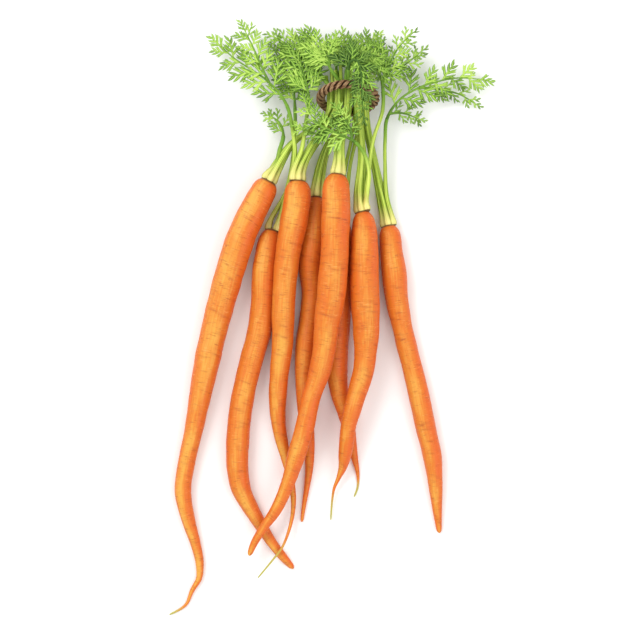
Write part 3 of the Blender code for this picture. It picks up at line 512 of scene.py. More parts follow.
class Pattern:
    """A tube's points, as shares across, upwards and along, and its faces, ready to be laid many times."""

    def __init__(self, sides, rings, insets=0):
        tube = straight_tube(sides, rings, insets)
        points = np.zeros(len(tube.data.vertices) * 3)
        tube.data.vertices.foreach_get("co", points)
        self.across, self.up, self.along = points.reshape(-1, 3).T
        self.along = np.clip(self.along, 0, 1)
        self.out = np.minimum(np.hypot(self.across, self.up), 1)
        self.angle = np.arctan2(self.up, self.across)
        self.faces = [list(face.vertices) for face in tube.data.polygons]
        bpy.data.meshes.remove(tube.data)

    def round_line(self, line, distance, radius, bulge=0.0):
        """Where the points lie round a line, this far from it, with ends that bulge ahead by so much."""
        left, up, ahead = line.axes(distance)
        outer = radius * self.out
        side, rise = np.cos(self.angle) * outer, np.sin(self.angle) * outer
        forward = bulge * (1 - self.out ** 2)
        return line.at(distance)[:, :3] - side[:, None] * left + rise[:, None] * up + forward[:, None] * ahead


class Growth:
    """What is laid for one piece: its points, its faces, and the values that its finish reads."""

    def __init__(self):
        self.points, self.faces, self.values, self.count = [], [], {}, 0

    def lay(self, pattern, places, **values):
        """Adds one copy of a pattern with its points at these places."""
        self.points.append(places)
        self.faces += [[k + self.count for k in face] for face in pattern.faces]
        self.count += len(places)
        for key, value in values.items():
            value = value if np.ndim(value) else np.full(len(places), value)
            self.values.setdefault(key, []).append(value)

    def piece(self, name, nodes, slot, finish):
        """Makes the finished piece, standing for these nodes."""
        mesh = bpy.data.meshes.new(name)
        mesh.from_pydata(in_metres(np.concatenate(self.points)).tolist(), [], self.faces)
        for key, parts in self.values.items():
            keep_values(mesh, key, np.concatenate(parts))
        mesh.update()
        made = bpy.data.objects.new(name, mesh)
        bpy.context.scene.collection.objects.link(made)
        finish_piece(made, nodes, finish)


def in_metres(places):
    """Places in the part's own frame, in metres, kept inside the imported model's box."""
    low, high = (np.array(corner) for corner in CAD_BOX)
    return np.clip((places - MIDDLE) * MM, low, high)


def skin_places(angle, radius, distance):
    """Places for the finish to read, round and along a piece as if it were straight."""
    return np.stack((np.cos(angle) * radius, np.sin(angle) * radius, distance), axis=-1)


def keep_values(mesh, key, values):
    """Keeps numbers or vectors, one for each point, under a name that the finish reads."""
    kind, field = ("FLOAT", "value") if values.ndim == 1 else ("FLOAT_VECTOR", "vector")
    mesh.attributes.new(key, kind, "POINT").data.foreach_set(field, values.ravel())


def finish_piece(made, nodes, finish):
    """Shades a piece, gives it its finish, and lets it ride in place of its nodes."""
    select_only(made)
    bpy.ops.object.shade_smooth_by_angle(angle=CREASE_ANGLE)
    made.data.materials.append(finish)
    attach(made, "root")
    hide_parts(*nodes)


# Roots

def section_shape(distance, angle, radius, draw):
    """A root's share of its full radius, which slow swellings and a section that isn't round take from."""
    shape = np.ones(len(distance))
    for lengths in SWELLINGS:
        turn = draw.uniform(*ANY_TURN) + 2 * math.pi * distance / draw.uniform(*lengths)
        swell = np.cos(turn + SWELLING_SLANT * np.sin(angle)) - 1
        shape += SWELLING * swell * ease(*SWELLING_RADII, radius)
    for lobes in SECTION_LOBES:
        turn = draw.uniform(*ANY_TURN) + distance / draw.uniform(*SECTION_DRIFT)
        shape += OUT_OF_ROUND / lobes * (np.cos(lobes * angle + turn) - 1)
    return shape


def pressed_rings(count, whole, distance, angle, draw):
    """How strongly each point is pressed in by fine rings, each of which goes part of the way round."""
    ring = np.zeros(len(distance))
    for _ in range(count):
        place, middle = draw.uniform(FIRST_RING, whole), draw.uniform(-math.pi, math.pi)
        reach, width = draw.uniform(*RING_REACHES), draw.uniform(*RING_WIDTHS)
        gap = np.abs(np.remainder(angle - middle + math.pi, 2 * math.pi) - math.pi)
        drift = RING_SLANT * np.sin(2 * (angle - middle))
        groove = np.exp(-((distance - place - drift) / width) ** 2)
        ring += draw.uniform(*RING_STRENGTHS) * groove * ease(reach, 0, gap)
    return np.clip(ring, 0, STRONGEST_RING)


def root_piece(name, pattern, settings, finish):
    """One root: slender and not quite round, with fine rings pressed in, flat where it lies down."""
    line = root_line(name)
    draw = random.Random(name)
    angle = pattern.angle
    at_crown, at_tail = ROOT_GATHERED
    distance = line.whole * (1 - (1 - pattern.along ** at_crown) ** at_tail)
    radius = line.at(distance)[:, 3]
    thin = ease(*THIN_TAIL, radius)
    inward = np.clip(1 - distance / SHOULDER, 0, 1)
    radius *= np.sqrt(1 - inward ** 2 * (1 - CROWN_SHARE ** 2)) * ROOT_FIT
    radius *= np.sqrt(1 - TIP_ROUNDING * np.clip(1 - (line.whole - distance) / TIP_ROUNDED, 0, 1) ** 2)
    shape = section_shape(distance, angle, radius, draw)
    ring = pressed_rings(int(line.whole / settings.ring_gap * MM), line.whole, distance, angle, draw)
    press = settings.ring_depth / MM * ease(*RING_RADII, radius)
    bulge = np.where(pattern.along < 0.5, *ROOT_BULGES) * radius
    places = pattern.round_line(line, distance, radius * shape - ring * press, bulge)
    places[:, 2] = np.maximum(places[:, 2], 0)
    # Painted highlight: a yellower band along the root's top, turned a little towards the window light, that
    # sways along it.
    sway = HIGHLIGHT_SWAY * np.sin(distance / HIGHLIGHT_SWAY_LENGTH + draw.uniform(*ANY_TURN))
    from_top = angle - math.pi / 2
    growth = Growth()
    growth.lay(
        pattern, places, skin=skin_places(angle, radius, distance), ring=ring, tail=thin,
        # Painted shade: a redder, darker flank on the side away from the window light.
        crest=wave(from_top + settings.highlight_band_turn + sway), flank=wave(from_top - settings.shaded_flank_turn),
        crown=ease(*CROWN_LINE, distance),
        # Partly painted shade: some roots are darker, most of all those that lie under others.
        tone=ROOT_TONES_AND_SHADE.get(name, 0.0) + SHOULDER_TONE * ease(*RED_SHOULDER, distance),
    )
    growth.piece(name + "_skin", [name], "root", finish)


# Leaf stalks

def stalk_piece(root, pattern, settings, finish):
    """All stalks on one crown: ribbed, and wide at the foot, where they clasp the crown."""
    growth = Growth()
    draw = random.Random(root + " stalks")
    base, middle, far = STALK_RADII
    for line, bears_frond in stalk_lines(root):
        distance = line.whole * pattern.along ** STALK_GATHERED
        flare = mix(base, middle, np.sin(math.pi / 2 * np.clip(distance / STALK_FLARE, 0, 1)))
        radius = flare + (far - middle) * np.clip((distance - STALK_FLARE) / STALK_THINNING, 0, 1)
        radius *= 1 - FOOT_ROUNDING * np.clip(1 - distance / FOOT_ROUNDED, 0, 1) ** 2
        ridge = wave(settings.ribs * pattern.angle + draw.uniform(*ANY_TURN))
        outer = radius * (STALK_FIT - settings.rib_depth * (1 - ridge))
        bulge = np.where(pattern.along < 0.5, *STALK_BULGES) * radius
        growth.lay(
            pattern, pattern.round_line(line, distance, outer, bulge),
            skin=skin_places(pattern.angle, STALK_SKIN_RADIUS, distance + draw.uniform(*STALK_SKIN_STARTS)),
            # side: painted shade along both edges of each stalk, where it meets its neighbours.
            foot=distance, ridge=ridge, tone=draw.random(), side=np.abs(np.cos(pattern.angle)) ** SIDE_SHADE_POWER,
            rib=ease(*GREENER_END, line.whole - distance) * bears_frond,
        )
    node = root.replace("carrot", "stalks")
    growth.piece(node + "_ribbed", [node], "stalk", finish)


# Fronds

def lobe_point(share, angle, length):
    """Where a lobe that curves forward has got to, along and across."""
    bend = angle * LOBE_CURVE if abs(angle) > LEAST_BEND else LEAST_BEND
    now = angle - bend * share
    return length * (np.sin(angle) - np.sin(now)) / bend, length * (np.cos(now) - np.cos(angle)) / bend


def lobe_plan(pairs, draw):
    """The lobes of a leaflet one unit long, the first its vein. Each is given by where it starts, along
    and across, its angle from the vein, its length and its share of the full width."""
    plan = [(0.0, 0.0, 0.0, 1.0, VEIN_SHARE)]
    for i in range(2 * pairs):
        side = 1 if i % 2 else -1
        share = i / (2 * pairs - 1)
        start = mix(*LOBED_PART, share) + draw.uniform(-START_SWAY, START_SWAY)
        angle = side * math.radians(mix(*LOBE_ANGLES, share) + draw.uniform(-TURN_SWAY, TURN_SWAY))
        reach = mix(*LOBE_REACH, share) * draw.uniform(*REACH_SWAY)
        plan.append((start, 0.0, angle, reach, 1.0))
        if share < TOOTHED_PART:
            along, across = lobe_point(TOOTH_PLACE, angle, reach)
            turned = angle * (1 - LOBE_CURVE * TOOTH_PLACE) + side * TOOTH_TURN
            plan.append((start + along, across, turned, reach * TOOTH_LENGTH, TOOTH_WIDTH))
    return plan


def lay_leaflet(growth, pattern, foot, heading, length, tone, settings, draw):
    """One leaflet: a slim vein with pointed lobes on either side, the lower ones toothed."""
    pairs = SMALL_PAIRS if length < SMALL_LEAFLET else FULL_PAIRS
    bend, tilt = draw.uniform(-LEAFLET_SWAY, LEAFLET_SWAY), draw.uniform(-LEAFLET_SWAY, LEAFLET_SWAY)
    tone += MIDDLE_TONE + LEAFLET_TONE * draw.uniform(-1, 1)
    ahead = np.array((math.cos(heading), math.sin(heading), 0))
    left = np.array((-ahead[1], ahead[0], 0))
    t = pattern.along
    full = settings.lobe_width / MM / 2 * np.clip(length / FULL_LEAFLET, *LEAFLET_WIDTHS)
    for start, across, angle, reach, share in lobe_plan(pairs, draw):
        along, aside = lobe_point(t, angle, reach)
        now = angle * (1 - LOBE_CURVE * t)
        width = full * share * np.interp(t, LOBE_STATIONS, LOBE_WIDTHS) * pattern.across
        u = (start + along) * length - np.sin(now) * width
        v = (across + aside) * length + np.cos(now) * width
        v += bend * u ** 2 / length
        far = u / length
        rise = length * (LEAFLET_RISE * far - LEAFLET_DROOP * far ** 2) - LEAFLET_ARCH * np.abs(v) + tilt * v
        places = foot + u[:, None] * ahead + v[:, None] * left
        places[:, 2] += rise + settings.thickness / MM / 2 * pattern.up + settings.channel * np.abs(width)
        shade = tone + LOBE_TONE * draw.uniform(-1, 1)
        growth.lay(pattern, places, vein=1 - np.abs(pattern.across), reach=far, tone=shade)


def frond_piece(name, rib_pattern, lobe_pattern, settings, finish):
    """One frond: its ribs, with leaflets that shorten towards the tip."""
    growth = Growth()
    draw = random.Random(name)
    before = frond_route(name)[-1]
    # Partly painted shade: darker fronds low in the bunch and over the tie.
    tone = FROND_TONES_AND_SHADE.get(name, 0.0)

    def leaflet(place, heading, length):
        lay_leaflet(growth, lobe_pattern, place, heading, length, tone, settings, draw)

    for rows, leaflets, longest in FRONDS[name][3]:
        line = Line(smooth(rows, LINE_STEPS, before=before))
        before = None
        radius = np.interp(rib_pattern.along, RIB_STATIONS, RIB_RADII)
        places = rib_pattern.round_line(line, line.whole * rib_pattern.along, radius)
        growth.lay(rib_pattern, places, vein=RIB_VEIN, reach=RIB_REACH, tone=tone + RIB_TONE)
        shares = [mix(*LEAFLET_SPAN, i / (leaflets - 1)) for i in range(leaflets)]
        for i, share in enumerate([*shares, LAST_LEAFLET, *EARLY_LEAFLETS.get(name, ())]):
            side = 1 if i % 2 else -1
            near, place, far = (
                line.at(line.whole * share + step)[:3] for step in (-LEAFLET_AIM, 0.0, LEAFLET_AIM)
            )
            spread = mix(*LEAFLET_ANGLES, share)
            sway = ANGLE_SWAY * math.sin(ANGLE_WAVE * i + line.whole)
            heading = level_heading(near, far) - math.radians(spread + sway) * side
            length = longest * (1 - LEAFLET_SHRINK * share)
            length *= 1 + LENGTH_SWAY * math.sin(LENGTH_WAVE * i + line.whole)
            leaflet(place, heading, length)
            if name not in OPEN_FRONDS or share == LAST_LEAFLET:
                length *= OPPOSITE_LEAFLET * (1 - OPPOSITE_SHRINK * share)
                leaflet(place + (0, 0, OPPOSITE_RISE), heading + 2 * math.radians(spread) * side, length)
        near, tip = line.at(line.whole - LEAFLET_AIM)[:3], line.at(line.whole)[:3]
        leaflet(tip, level_heading(near, tip), longest * TIP_LEAFLET)
    growth.piece(name + "_leaf", [name], "leaf", finish)


# Cord

def ring_and_strand(lays, strand):
    """The tie's middle line, passed once for each strand, and that of the strand laid round it."""
    stations = lays * LAY_STATIONS
    where = STRANDS * 2 * math.pi * np.arange(stations) / stations
    ring = np.stack((
        TIE_X + TIE_HALF_WIDTH * np.cos(where), TIE_Y + TIE_LEAN * np.sin(where),
        TIE_Z + TIE_HALF_HEIGHT * np.sin(where)), axis=-1)
    ahead = np.stack((
        -TIE_HALF_WIDTH * np.sin(where), TIE_LEAN * np.cos(where), TIE_HALF_HEIGHT * np.cos(where)), axis=-1)
    across = np.array((0, TIE_HALF_HEIGHT, -TIE_LEAN)) / math.hypot(TIE_HALF_HEIGHT, TIE_LEAN)
    out = np.cross(ahead / np.linalg.norm(ahead, axis=-1)[:, None], across)
    angle = lays / STRANDS * where[:, None]
    return ring, ring + strand * LAY_SHARE * (np.cos(angle) * out + np.sin(angle) * across)


def cord_piece(settings, finish):
    """The tie: three strands of twisted yarn laid round each other, joined into one ring."""
    ring, middles = ring_and_strand(settings.lays, settings.strand / MM)
    stations = len(ring)
    bpy.ops.object.select_all(action="DESELECT")
    bpy.ops.curve.primitive_bezier_circle_add()
    made = bpy.context.object
    made.name = "tie_cord_twisted"
    curve = made.data
    curve.name = made.name
    curve.splines.clear()
    spline = curve.splines.new("POLY")
    spline.points.add(stations - 1)
    for place, point in zip((middles - MIDDLE) * MM, spline.points):
        point.co = (*place, 1)
    spline.use_cyclic_u = True
    curve.dimensions = "3D"
    curve.bevel_depth = settings.strand
    curve.bevel_resolution = BEVEL_STEPS
    curve.use_fill_caps = False
    select_only(made)
    bpy.ops.object.convert(target="MESH")
    made = bpy.context.object
    mesh = made.data
    places = np.zeros(len(mesh.vertices) * 3)
    mesh.vertices.foreach_get("co", places)
    places = places.reshape(-1, 3) / MM + MIDDLE
    sides = len(places) // stations
    angle = 2 * math.pi * np.tile(np.arange(sides), stations) / sides
    distance = np.repeat(np.arange(stations), sides) * STATION_RUN
    yarn = wave(YARNS * (angle + distance * settings.yarn_twist))
    keep_values(mesh, "height", np.linalg.norm(places - np.repeat(ring, sides, axis=0), axis=1))
    keep_values(mesh, "yarn", yarn)
    keep_values(mesh, "skin", skin_places(angle, CORD_SKIN_RADIUS, distance))
    places -= (places - np.repeat(middles, sides, axis=0)) * (YARN_DEPTH * (1 - yarn))[:, None]
    mesh.vertices.foreach_set("co", in_metres(places).ravel())
    mesh.update()
    finish_piece(made, ["tie_cord"], finish)


# Finishes

def node(tree, kind, inputs=(), **settings):
    """A shader node with its settings, its inputs given as values or as sockets to link."""
    made = tree.nodes.new("ShaderNode" + kind)
    for key, value in settings.items():
        setattr(made, key, value)
    for key, value in dict(inputs).items():
        if isinstance(value, bpy.types.NodeSocket):
            tree.links.new(value, made.inputs[key])
        else:
            made.inputs[key].default_value = value
    return made


def rgba(colour):
    """A colour with its alpha, or the socket that gives it."""
    return colour if isinstance(colour, bpy.types.NodeSocket) else (*colour, 1)


def colour_mix(tree, share, colour, other):
    """One colour turned into another by a share. Sockets 6 and 7 of a Mix node are its colours."""
    return node(tree, "Mix", {0: share, 6: rgba(colour), 7: rgba(other)}, data_type="RGBA").outputs[2]


def group_tree(name, inputs, output):
    """An empty node group with these inputs and one output, and the sockets that give its inputs."""
    tree = bpy.data.node_groups.new(name, "ShaderNodeTree")
    for label, kind in inputs.items():
        tree.interface.new_socket(label, in_out="INPUT", socket_type="NodeSocket" + kind)
    tree.interface.new_socket(output, in_out="OUTPUT", socket_type="NodeSocket" + output)
    return tree, tree.nodes.new("NodeGroupInput").outputs


def give_out(tree, socket):
    """Links the result of a node group to its output."""
    tree.links.new(socket, tree.nodes.new("NodeGroupOutput").inputs[0])


def streaks_group():
    """Noise that is drawn out along or round a piece, from 0 below its low bound to 1 above its high one."""
    inputs = {"Vector": "Vector", "Around": "Float", "Along": "Float", "Low": "Float", "High": "Float"}
    tree, given = group_tree("streaks", inputs, "Float")
    scale = node(tree, "CombineXYZ", {0: given["Around"], 1: given["Around"], 2: given["Along"]})
    place = node(tree, "VectorMath", {0: given["Vector"], 1: scale.outputs[0]}, operation="MULTIPLY")
    noise = node(tree, "TexNoise", {
        "Vector": place.outputs[0], "Scale": 1.0, "Detail": 3.0, "Roughness": 0.55})
    share = node(tree, "MapRange", {
        "Value": noise.outputs[0], "From Min": given["Low"], "From Max": given["High"]})
    give_out(tree, share.outputs[0])


def tones_group():
    """A colour between three: the first at 0, the second at a half and the third at 1."""
    inputs = {"Value": "Float", "Low": "Color", "Middle": "Color", "High": "Color"}
    tree, given = group_tree("three tones", inputs, "Color")
    lower = node(tree, "MapRange", {"Value": given["Value"], "From Max": 0.5})
    upper = node(tree, "MapRange", {"Value": given["Value"], "From Min": 0.5})
    first = colour_mix(tree, lower.outputs[0], given["Low"], given["Middle"])
    give_out(tree, colour_mix(tree, upper.outputs[0], first, given["High"]))


class Finish:
    """A material of its own for one kind of piece, with short calls for the nodes that it is made of."""

    def __init__(self, name, roughness, gloss=0.5):
        self.material = bpy.data.materials.new(name)
        self.material.use_nodes = True
        self.tree = self.material.node_tree
        self.shader = self.tree.nodes["Principled BSDF"]
        self.roughness = roughness
        self.shader.inputs["Roughness"].default_value = roughness
        self.shader.inputs["Specular IOR Level"].default_value = gloss

    def value(self, name):
        """A value that the piece's points carry."""
        return node(self.tree, "Attribute", attribute_name=name).outputs["Fac"]

    def skin(self):
        """The place on the piece as if it were straight, in millimetres."""
        return node(self.tree, "Attribute", attribute_name="skin").outputs["Vector"]

    def group(self, name, *values):
        """The result of a shared effect with these inputs."""
        effect = bpy.data.node_groups[name]
        return node(self.tree, "Group", dict(enumerate(values)), node_tree=effect).outputs[0]

    def streaks(self, vector, around, along, low=0.35, high=0.65):
        return self.group("streaks", vector, around, along, low, high)

    def tones(self, value, *colours):
        return self.group("three tones", value, *(rgba(colour) for colour in colours))

    def math(self, operation, a, b):
        return node(self.tree, "Math", {0: a, 1: b}, operation=operation).outputs[0]

    def band(self, name, power):
        """A value that the piece's points carry, narrowed by a power."""
        return self.math("POWER", self.value(name), power)

    def share(self, value, low, high):
        """How far a value has got from low to high, from 0 to 1."""
        return node(self.tree, "MapRange", {"Value": value, "From Min": low, "From Max": high}).outputs[0]

    def total(self, *terms):
        """The sum of values times their weights."""
        found = 0.0
        for value, weight in terms:
            found = self.math("ADD", self.math("MULTIPLY", value, weight), found)
        return found

    def blend(self, share, colour, other, most=None):
        """One colour turned into another by a share, of which no more than so much counts."""
        share = self.math("MULTIPLY", share, most) if most else share
        return colour_mix(self.tree, share, colour, other)

    def done(self, colour, height, depth, rougher=None):
        """Joins the colour, the relief, with its depth in metres, and what makes it rougher to the shader."""
        bump = node(self.tree, "Bump", {"Height": height, "Distance": depth, "Strength": 1.0})
        self.tree.links.new(bump.outputs[0], self.shader.inputs["Normal"])
        self.tree.links.new(colour, self.shader.inputs["Base Color"])
        if rougher:
            self.tree.links.new(self.total(rougher, (1.0, self.roughness)), self.shader.inputs["Roughness"])
        return self.material


def root_finish(settings):
    made = Finish("carrot skin", roughness=0.40, gloss=0.3)
    skin = made.skin()
    patches = made.streaks(skin, around=0.10, along=0.035)
    long_streaks = made.streaks(skin, around=1.1, along=0.06)
    fine_rings = made.streaks(skin, around=0.20, along=1.7, low=0.58, high=0.72)
    shifted = node(made.tree, "VectorMath", {0: skin, 1: PALE_RING_SHIFT}, operation="ADD").outputs[0]
    pale_rings = made.streaks(shifted, around=0.22, along=1.5, low=0.60, high=0.75)
    ring = made.value("ring")
    # The tones: lighter on the painted highlight band, darker on the painted shade of the flank.
    value = made.total(
        (made.band("crest", power=6.0), 0.66), (made.band("flank", power=4.0), -0.34),
        (patches, 0.44), (long_streaks, 0.24), (made.value("tone"), 1.0))
    colour = made.tones(value, settings.shade, settings.skin, settings.crest)
    colour = made.blend(made.total((fine_rings, 0.62), (ring, 0.42)), colour, settings.ring)
    colour = made.blend(pale_rings, colour, settings.pale_ring, most=0.50)
    colour = made.blend(made.value("tail"), colour, settings.tail)
    colour = made.blend(made.value("crown"), colour, settings.crown)
    height = made.total((ring, -0.5), (fine_rings, -0.35), (long_streaks, 0.25), (pale_rings, 0.2))
    return made.done(colour, height, depth=0.00025, rougher=(patches, 0.12))


def stalk_finish(settings):
    made = Finish("stalk", roughness=0.5, gloss=0.25)
    foot, ridge, side = made.value("foot"), made.value("ridge"), made.value("side")
    fibres = made.streaks(made.skin(), around=2.2, along=0.05)
    # Darker in the painted shade along the stalks' sides.
    value = made.total(
        (fibres, 0.50), (ridge, 0.60), (made.value("tone"), 0.30),
        (made.share(foot, low=14.0, high=60.0), -0.06), (side, -0.45))
    colour = made.tones(value, settings.shade, settings.stalk, settings.light)
    colour = made.blend(made.value("rib"), colour, settings.rib)
    # The cream feet, with greenish streaks and painted shade along their sides.
    pale = made.blend(made.total((fibres, 0.4), (side, 0.5)), settings.foot, settings.foot_streak_and_shade)
    colour = made.blend(made.share(foot, low=2.2, high=13.0), pale, colour)
    colour = made.blend(made.share(foot, low=0.5, high=0.1), colour, settings.seam)
    return made.done(colour, made.total((fibres, 0.6), (ridge, 0.3)), depth=0.0002)


def leaf_finish(settings):
    made = Finish("leaf", roughness=0.6, gloss=0.15)
    place = node(made.tree, "TexCoord").outputs["Object"]
    patches = made.streaks(place, around=70.0, along=70.0, low=0.3, high=0.7)
    grain = made.streaks(place, around=900.0, along=900.0)
    vein = made.value("vein")
    # tone: random for each leaflet and lobe, with the painted shade of the darker fronds.
    value = made.total(
        (patches, 0.40), (made.value("tone"), 0.90), (made.value("reach"), -0.30),
        (vein, 0.62), (grain, 0.16), (1.0, -0.37))
    colour = made.tones(value, settings.shade, settings.leaf, settings.light)
    rib = made.share(vein, low=0.55, high=1.0)
    colour = made.blend(rib, colour, settings.vein, most=0.45)
    return made.done(colour, made.total((grain, 0.5), (rib, -0.5)), depth=0.00015)


def cord_finish(settings):
    made = Finish("twisted cord", roughness=0.85, gloss=0.1)
    fibres = made.streaks(made.skin(), around=3.0, along=0.5)
    knob = made.share(made.value("height"), low=2.1, high=2.85)
    yarn = made.value("yarn")
    # Painted shade: near black in the hollows between the strands, lighter tan towards the crowns where they
    # pass outermost.
    value = made.total((knob, 0.95), (fibres, 0.80), (yarn, 0.35), (1.0, -0.66))
    colour = made.tones(value, settings.hollow_shade, settings.cord, settings.knob)
    return made.done(colour, made.total((fibres, 0.6), (yarn, 0.5)), depth=0.0003)


# Settings

def length(name, default, description):
    return FloatProperty(name=name, description=description, default=default, unit="LENGTH", precision=5)


def turn(name, degrees, description):
    return FloatProperty(name=name, description=description, default=math.radians(degrees), subtype="ANGLE")


def share(name, default, description):
    return FloatProperty(name=name, description=description, default=default, subtype="FACTOR", min=0, max=1)


def colour(name, default, description):
    return FloatVectorProperty(
        name=name, description=description, default=default, subtype="COLOR", min=0, max=1)


class RootSettings(bpy.types.PropertyGroup):
    ring_gap: length("Ring gap", 0.0024, "Distance along a root from one pressed ring to the next")
    ring_depth: length("Ring depth", 0.00018, "How deep the rings are pressed into the skin")
    # Painted highlight: how far the yellower band lies from a root's top.
    highlight_band_turn: turn("Crest turn", 6.0, "How far the lighter band lies to the left of a root's top")
    # Painted shade: how far the redder flank lies from a root's top.
    shaded_flank_turn: turn("Flank turn", 48.0, "How far the redder flank lies to the right of a root's top")
    skin: colour("Skin", (0.66, 0.172, 0.015), "Orange of the skin")
    # Partly painted shade: the redder orange of the shaded flanks and of the darker roots.
    shade: colour("Flanks", (0.68, 0.122, 0.013), "Redder orange of the flanks")
    # Painted highlight: the yellowish orange of the band along a root's top.
    crest: colour("Crest", (0.73, 0.345, 0.052), "Yellowish orange of the band along the top")
    ring: colour("Rings", (0.36, 0.050, 0.010), "Brownish orange of the rings")
    pale_ring: colour("Pale rings", (0.90, 0.45, 0.13), "Pale orange of the raised scars")
    tail: colour("Tail", (0.44, 0.41, 0.08), "Olive yellow of the thin tail")
    crown: colour("Crown", (0.12, 0.055, 0.018), "Brown line round the crown")


class StalkSettings(bpy.types.PropertyGroup):
    ribs: IntProperty(name="Ribs", description="Ribs round a stalk", default=9, min=3)
    rib_depth: share("Rib depth", 0.12, "Depth of the ribs as a share of the radius")
    stalk: colour("Stalk", (0.38, 0.54, 0.045), "Green of the stalks")
    # Partly painted shade: this dark green also gives the painted shade along the stalks' sides.
    shade: colour("Hollows", (0.09, 0.18, 0.018), "Dark green between the ribs")
    light: colour("Ribs", (0.70, 0.84, 0.17), "Light green of the ribs")
    rib: colour("Frond end", (0.155, 0.33, 0.030), "Green of a stalk where it turns into a frond's rib")
    foot: colour("Foot", (0.92, 0.82, 0.29), "Cream of the wide feet")
    # Partly painted shade: the greenish streaks also darken the feet's sides.
    foot_streak_and_shade: colour("Foot streaks", (0.36, 0.38, 0.07), "Greenish streaks on the feet")
    seam: colour("Seam", (0.14, 0.085, 0.03), "Brown line where a stalk leaves the crown")


class LeafSettings(bpy.types.PropertyGroup):
    lobe_width: length("Lobe width", 0.0016, "Width of one pointed lobe of a leaflet")
    thickness: length("Thickness", 0.0004, "Thickness of the blade")
    channel: share("Channel", 0.18, "How much a lobe's edges rise above its vein, as a share of its width")
    leaf: colour("Leaf", (0.19, 0.38, 0.035), "Green of the leaflets")
    shade: colour("Shaded leaf", (0.030, 0.095, 0.012), "Dark green of the deeper leaflets")
    light: colour("Young leaf", (0.46, 0.66, 0.12), "Yellow-green of the youngest leaflets")
    vein: colour("Vein", (0.50, 0.70, 0.14), "Light green of the veins")


class CordSettings(bpy.types.PropertyGroup):
    strand: length("Strand radius", 0.00145, "Radius of one strand of the cord")
    lays: IntProperty(
        name="Lays", default=26,
        description="Strands that pass over the cord's outer side in one round, not a multiple of 3")
    yarn_twist: FloatProperty(
        name="Yarn twist", description="Turn of the yarns in a strand for each millimetre, in radians",
        default=0.55)
    cord: colour("Cord", (0.135, 0.060, 0.025), "Brown of the cord")
    # Painted shade: the dark brown in the hollows between the strands.
    hollow_shade: colour("Hollows", (0.014, 0.006, 0.003), "Dark brown between the strands")
    knob: colour("Crowns", (0.52, 0.34, 0.18), "Tan where a strand passes outermost")


class StageSettings(bpy.types.PropertyGroup):
    distance: length("Camera height", 1.503, "Height of the camera above the table")
    lens: FloatProperty(name="Lens", description="Focal length", default=140.0, unit="CAMERA")
    floor: colour("Table", (0.93, 0.93, 0.92), "Colour of the table")


# Operators

class CARROTS_OT_patterns(bpy.types.Operator):
    """Builds the effects that the finishes share"""
    bl_idname = "carrots.patterns"
    bl_label = "Shared effects"

    def execute(self, context):
        streaks_group()
        tones_group()
        return {"FINISHED"}


class CARROTS_OT_roots(bpy.types.Operator):
    """Grows the eight roots"""
    bl_idname = "carrots.roots"
    bl_label = "Roots"

    def execute(self, context):
        settings = context.scene.carrot_roots
        finish = root_finish(settings)
        pattern = Pattern(sides=64, rings=400, insets=3)
        for name in ROOTS:
            root_piece(name, pattern, settings, finish)
        return {"FINISHED"}


class CARROTS_OT_stalks(bpy.types.Operator):
    """Grows the leaf stalks on each crown"""
    bl_idname = "carrots.stalks"
    bl_label = "Leaf stalks"

    def execute(self, context):
        settings = context.scene.carrot_stalks
        finish = stalk_finish(settings)
        pattern = Pattern(sides=36, rings=48, insets=2)
        for root in ROOTS:
            stalk_piece(root, pattern, settings, finish)
        return {"FINISHED"}


class CARROTS_OT_fronds(bpy.types.Operator):
    """Grows the fronds with their leaflets"""
    bl_idname = "carrots.fronds"
    bl_label = "Fronds"

    def execute(self, context):
        settings = context.scene.carrot_leaves
        finish = leaf_finish(settings)
        rib, lobe = Pattern(sides=12, rings=28, insets=1), Pattern(sides=8, rings=5)
        for name in FRONDS:
            frond_piece(name, rib, lobe, settings, finish)
        return {"FINISHED"}


class CARROTS_OT_cord(bpy.types.Operator):
    """Lays the twisted cord round the stalks"""
    bl_idname = "carrots.cord"
    bl_label = "Cord"

    def execute(self, context):
        settings = context.scene.carrot_cord
        cord_piece(settings, cord_finish(settings))
        return {"FINISHED"}


class CARROTS_OT_stage(bpy.types.Operator):
    """Sets the pale table, the soft light and the camera that looks down on the bunch"""
    bl_idname = "carrots.stage"
    bl_label = "Stage"

    def execute(self, context):
        settings = context.scene.carrot_stage
        table(settings)
        for name, (place, size, power) in LAMPS.items():
            lamp(name, place, size, power)
        surroundings()
        camera(settings)
        return {"FINISHED"}


def table(settings):
    bpy.ops.object.select_all(action="DESELECT")
    bpy.ops.mesh.primitive_plane_add(size=TABLE_SIZE, location=(0, 0, -TABLE_DROP))
    floor = bpy.context.object
    floor.name = "table"
    finish = Finish("table", roughness=0.7)
    finish.shader.inputs["Base Color"].default_value = rgba(settings.floor)
    floor.data.materials.append(finish.material)


def lamp(name, place, size, power):
    """A large soft light that points at the part's origin."""
    bpy.ops.object.select_all(action="DESELECT")
    bpy.ops.object.light_add(type="AREA", location=place)
    made = bpy.context.object
    made.name = name
    made.data.energy = power
    made.data.size = size
    x, y, z = place
    made.rotation_euler = (math.atan2(math.hypot(x, y), z), 0, math.atan2(y, x) + math.pi / 2)


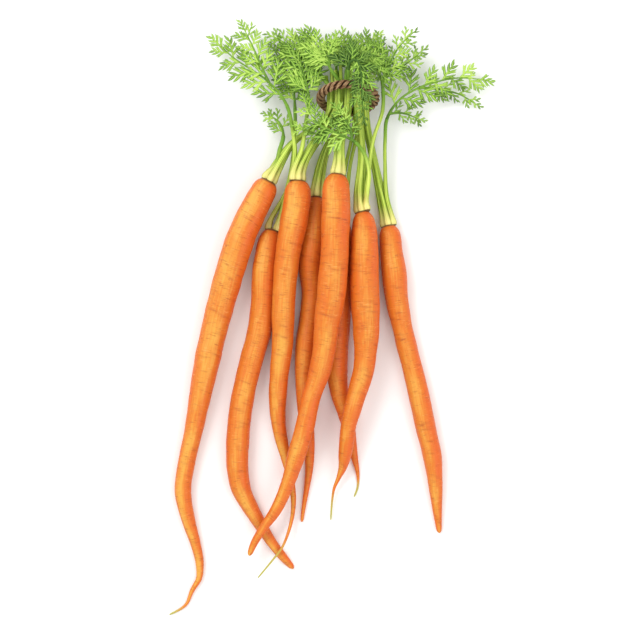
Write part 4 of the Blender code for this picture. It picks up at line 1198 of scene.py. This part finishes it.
def surroundings():
    """The white light from all sides."""
    world = bpy.data.worlds.new("studio")
    world.use_nodes = True
    background = world.node_tree.nodes["Background"].inputs
    background["Color"].default_value = (1, 1, 1, 1)
    background["Strength"].default_value = SURROUNDING_LIGHT
    bpy.context.scene.world = world
    bpy.context.scene.view_settings.view_transform = "Standard"


def camera(settings):
    bpy.ops.object.camera_add(location=(*CAMERA_PLACE, settings.distance), rotation=(0, 0, 0))
    made = bpy.context.object
    made.name = "camera"
    made.data.lens = settings.lens
    made.data.sensor_width = SENSOR_WIDTH
    bpy.context.scene.camera = made


class CARROTS_PT_panel(bpy.types.Panel):
    """The bunch's pieces and their settings"""
    bl_label = "Bunch of Carrots"
    bl_space_type = "VIEW_3D"
    bl_region_type = "UI"
    bl_category = "Carrots"

    def draw(self, context):
        for operator, settings in STEPS:
            self.layout.operator(operator.bl_idname)
            if settings:
                for key in getattr(context.scene, settings).bl_rna.properties.keys():
                    if key not in ("rna_type", "name"):
                        self.layout.prop(getattr(context.scene, settings), key)


SETTINGS = {
    "carrot_roots": RootSettings,
    "carrot_stalks": StalkSettings,
    "carrot_leaves": LeafSettings,
    "carrot_cord": CordSettings,
    "carrot_stage": StageSettings,
}
STEPS = (
    (CARROTS_OT_patterns, None),
    (CARROTS_OT_roots, "carrot_roots"),
    (CARROTS_OT_stalks, "carrot_stalks"),
    (CARROTS_OT_fronds, "carrot_leaves"),
    (CARROTS_OT_cord, "carrot_cord"),
    (CARROTS_OT_stage, "carrot_stage"),
)
CLASSES = (*SETTINGS.values(), *(operator for operator, _ in STEPS), CARROTS_PT_panel)


def register():
    for cls in CLASSES:
        bpy.utils.register_class(cls)
    for name, cls in SETTINGS.items():
        setattr(bpy.types.Scene, name, PointerProperty(type=cls))


def unregister():
    for name in SETTINGS:
        delattr(bpy.types.Scene, name)
    for cls in reversed(CLASSES):
        bpy.utils.unregister_class(cls)


def main():
    register()
    bpy.ops.carrots.patterns()
    bpy.ops.carrots.roots()
    bpy.ops.carrots.stalks()
    bpy.ops.carrots.fronds()
    bpy.ops.carrots.cord()
    bpy.ops.carrots.stage()


if __name__ == "__main__":
    main()
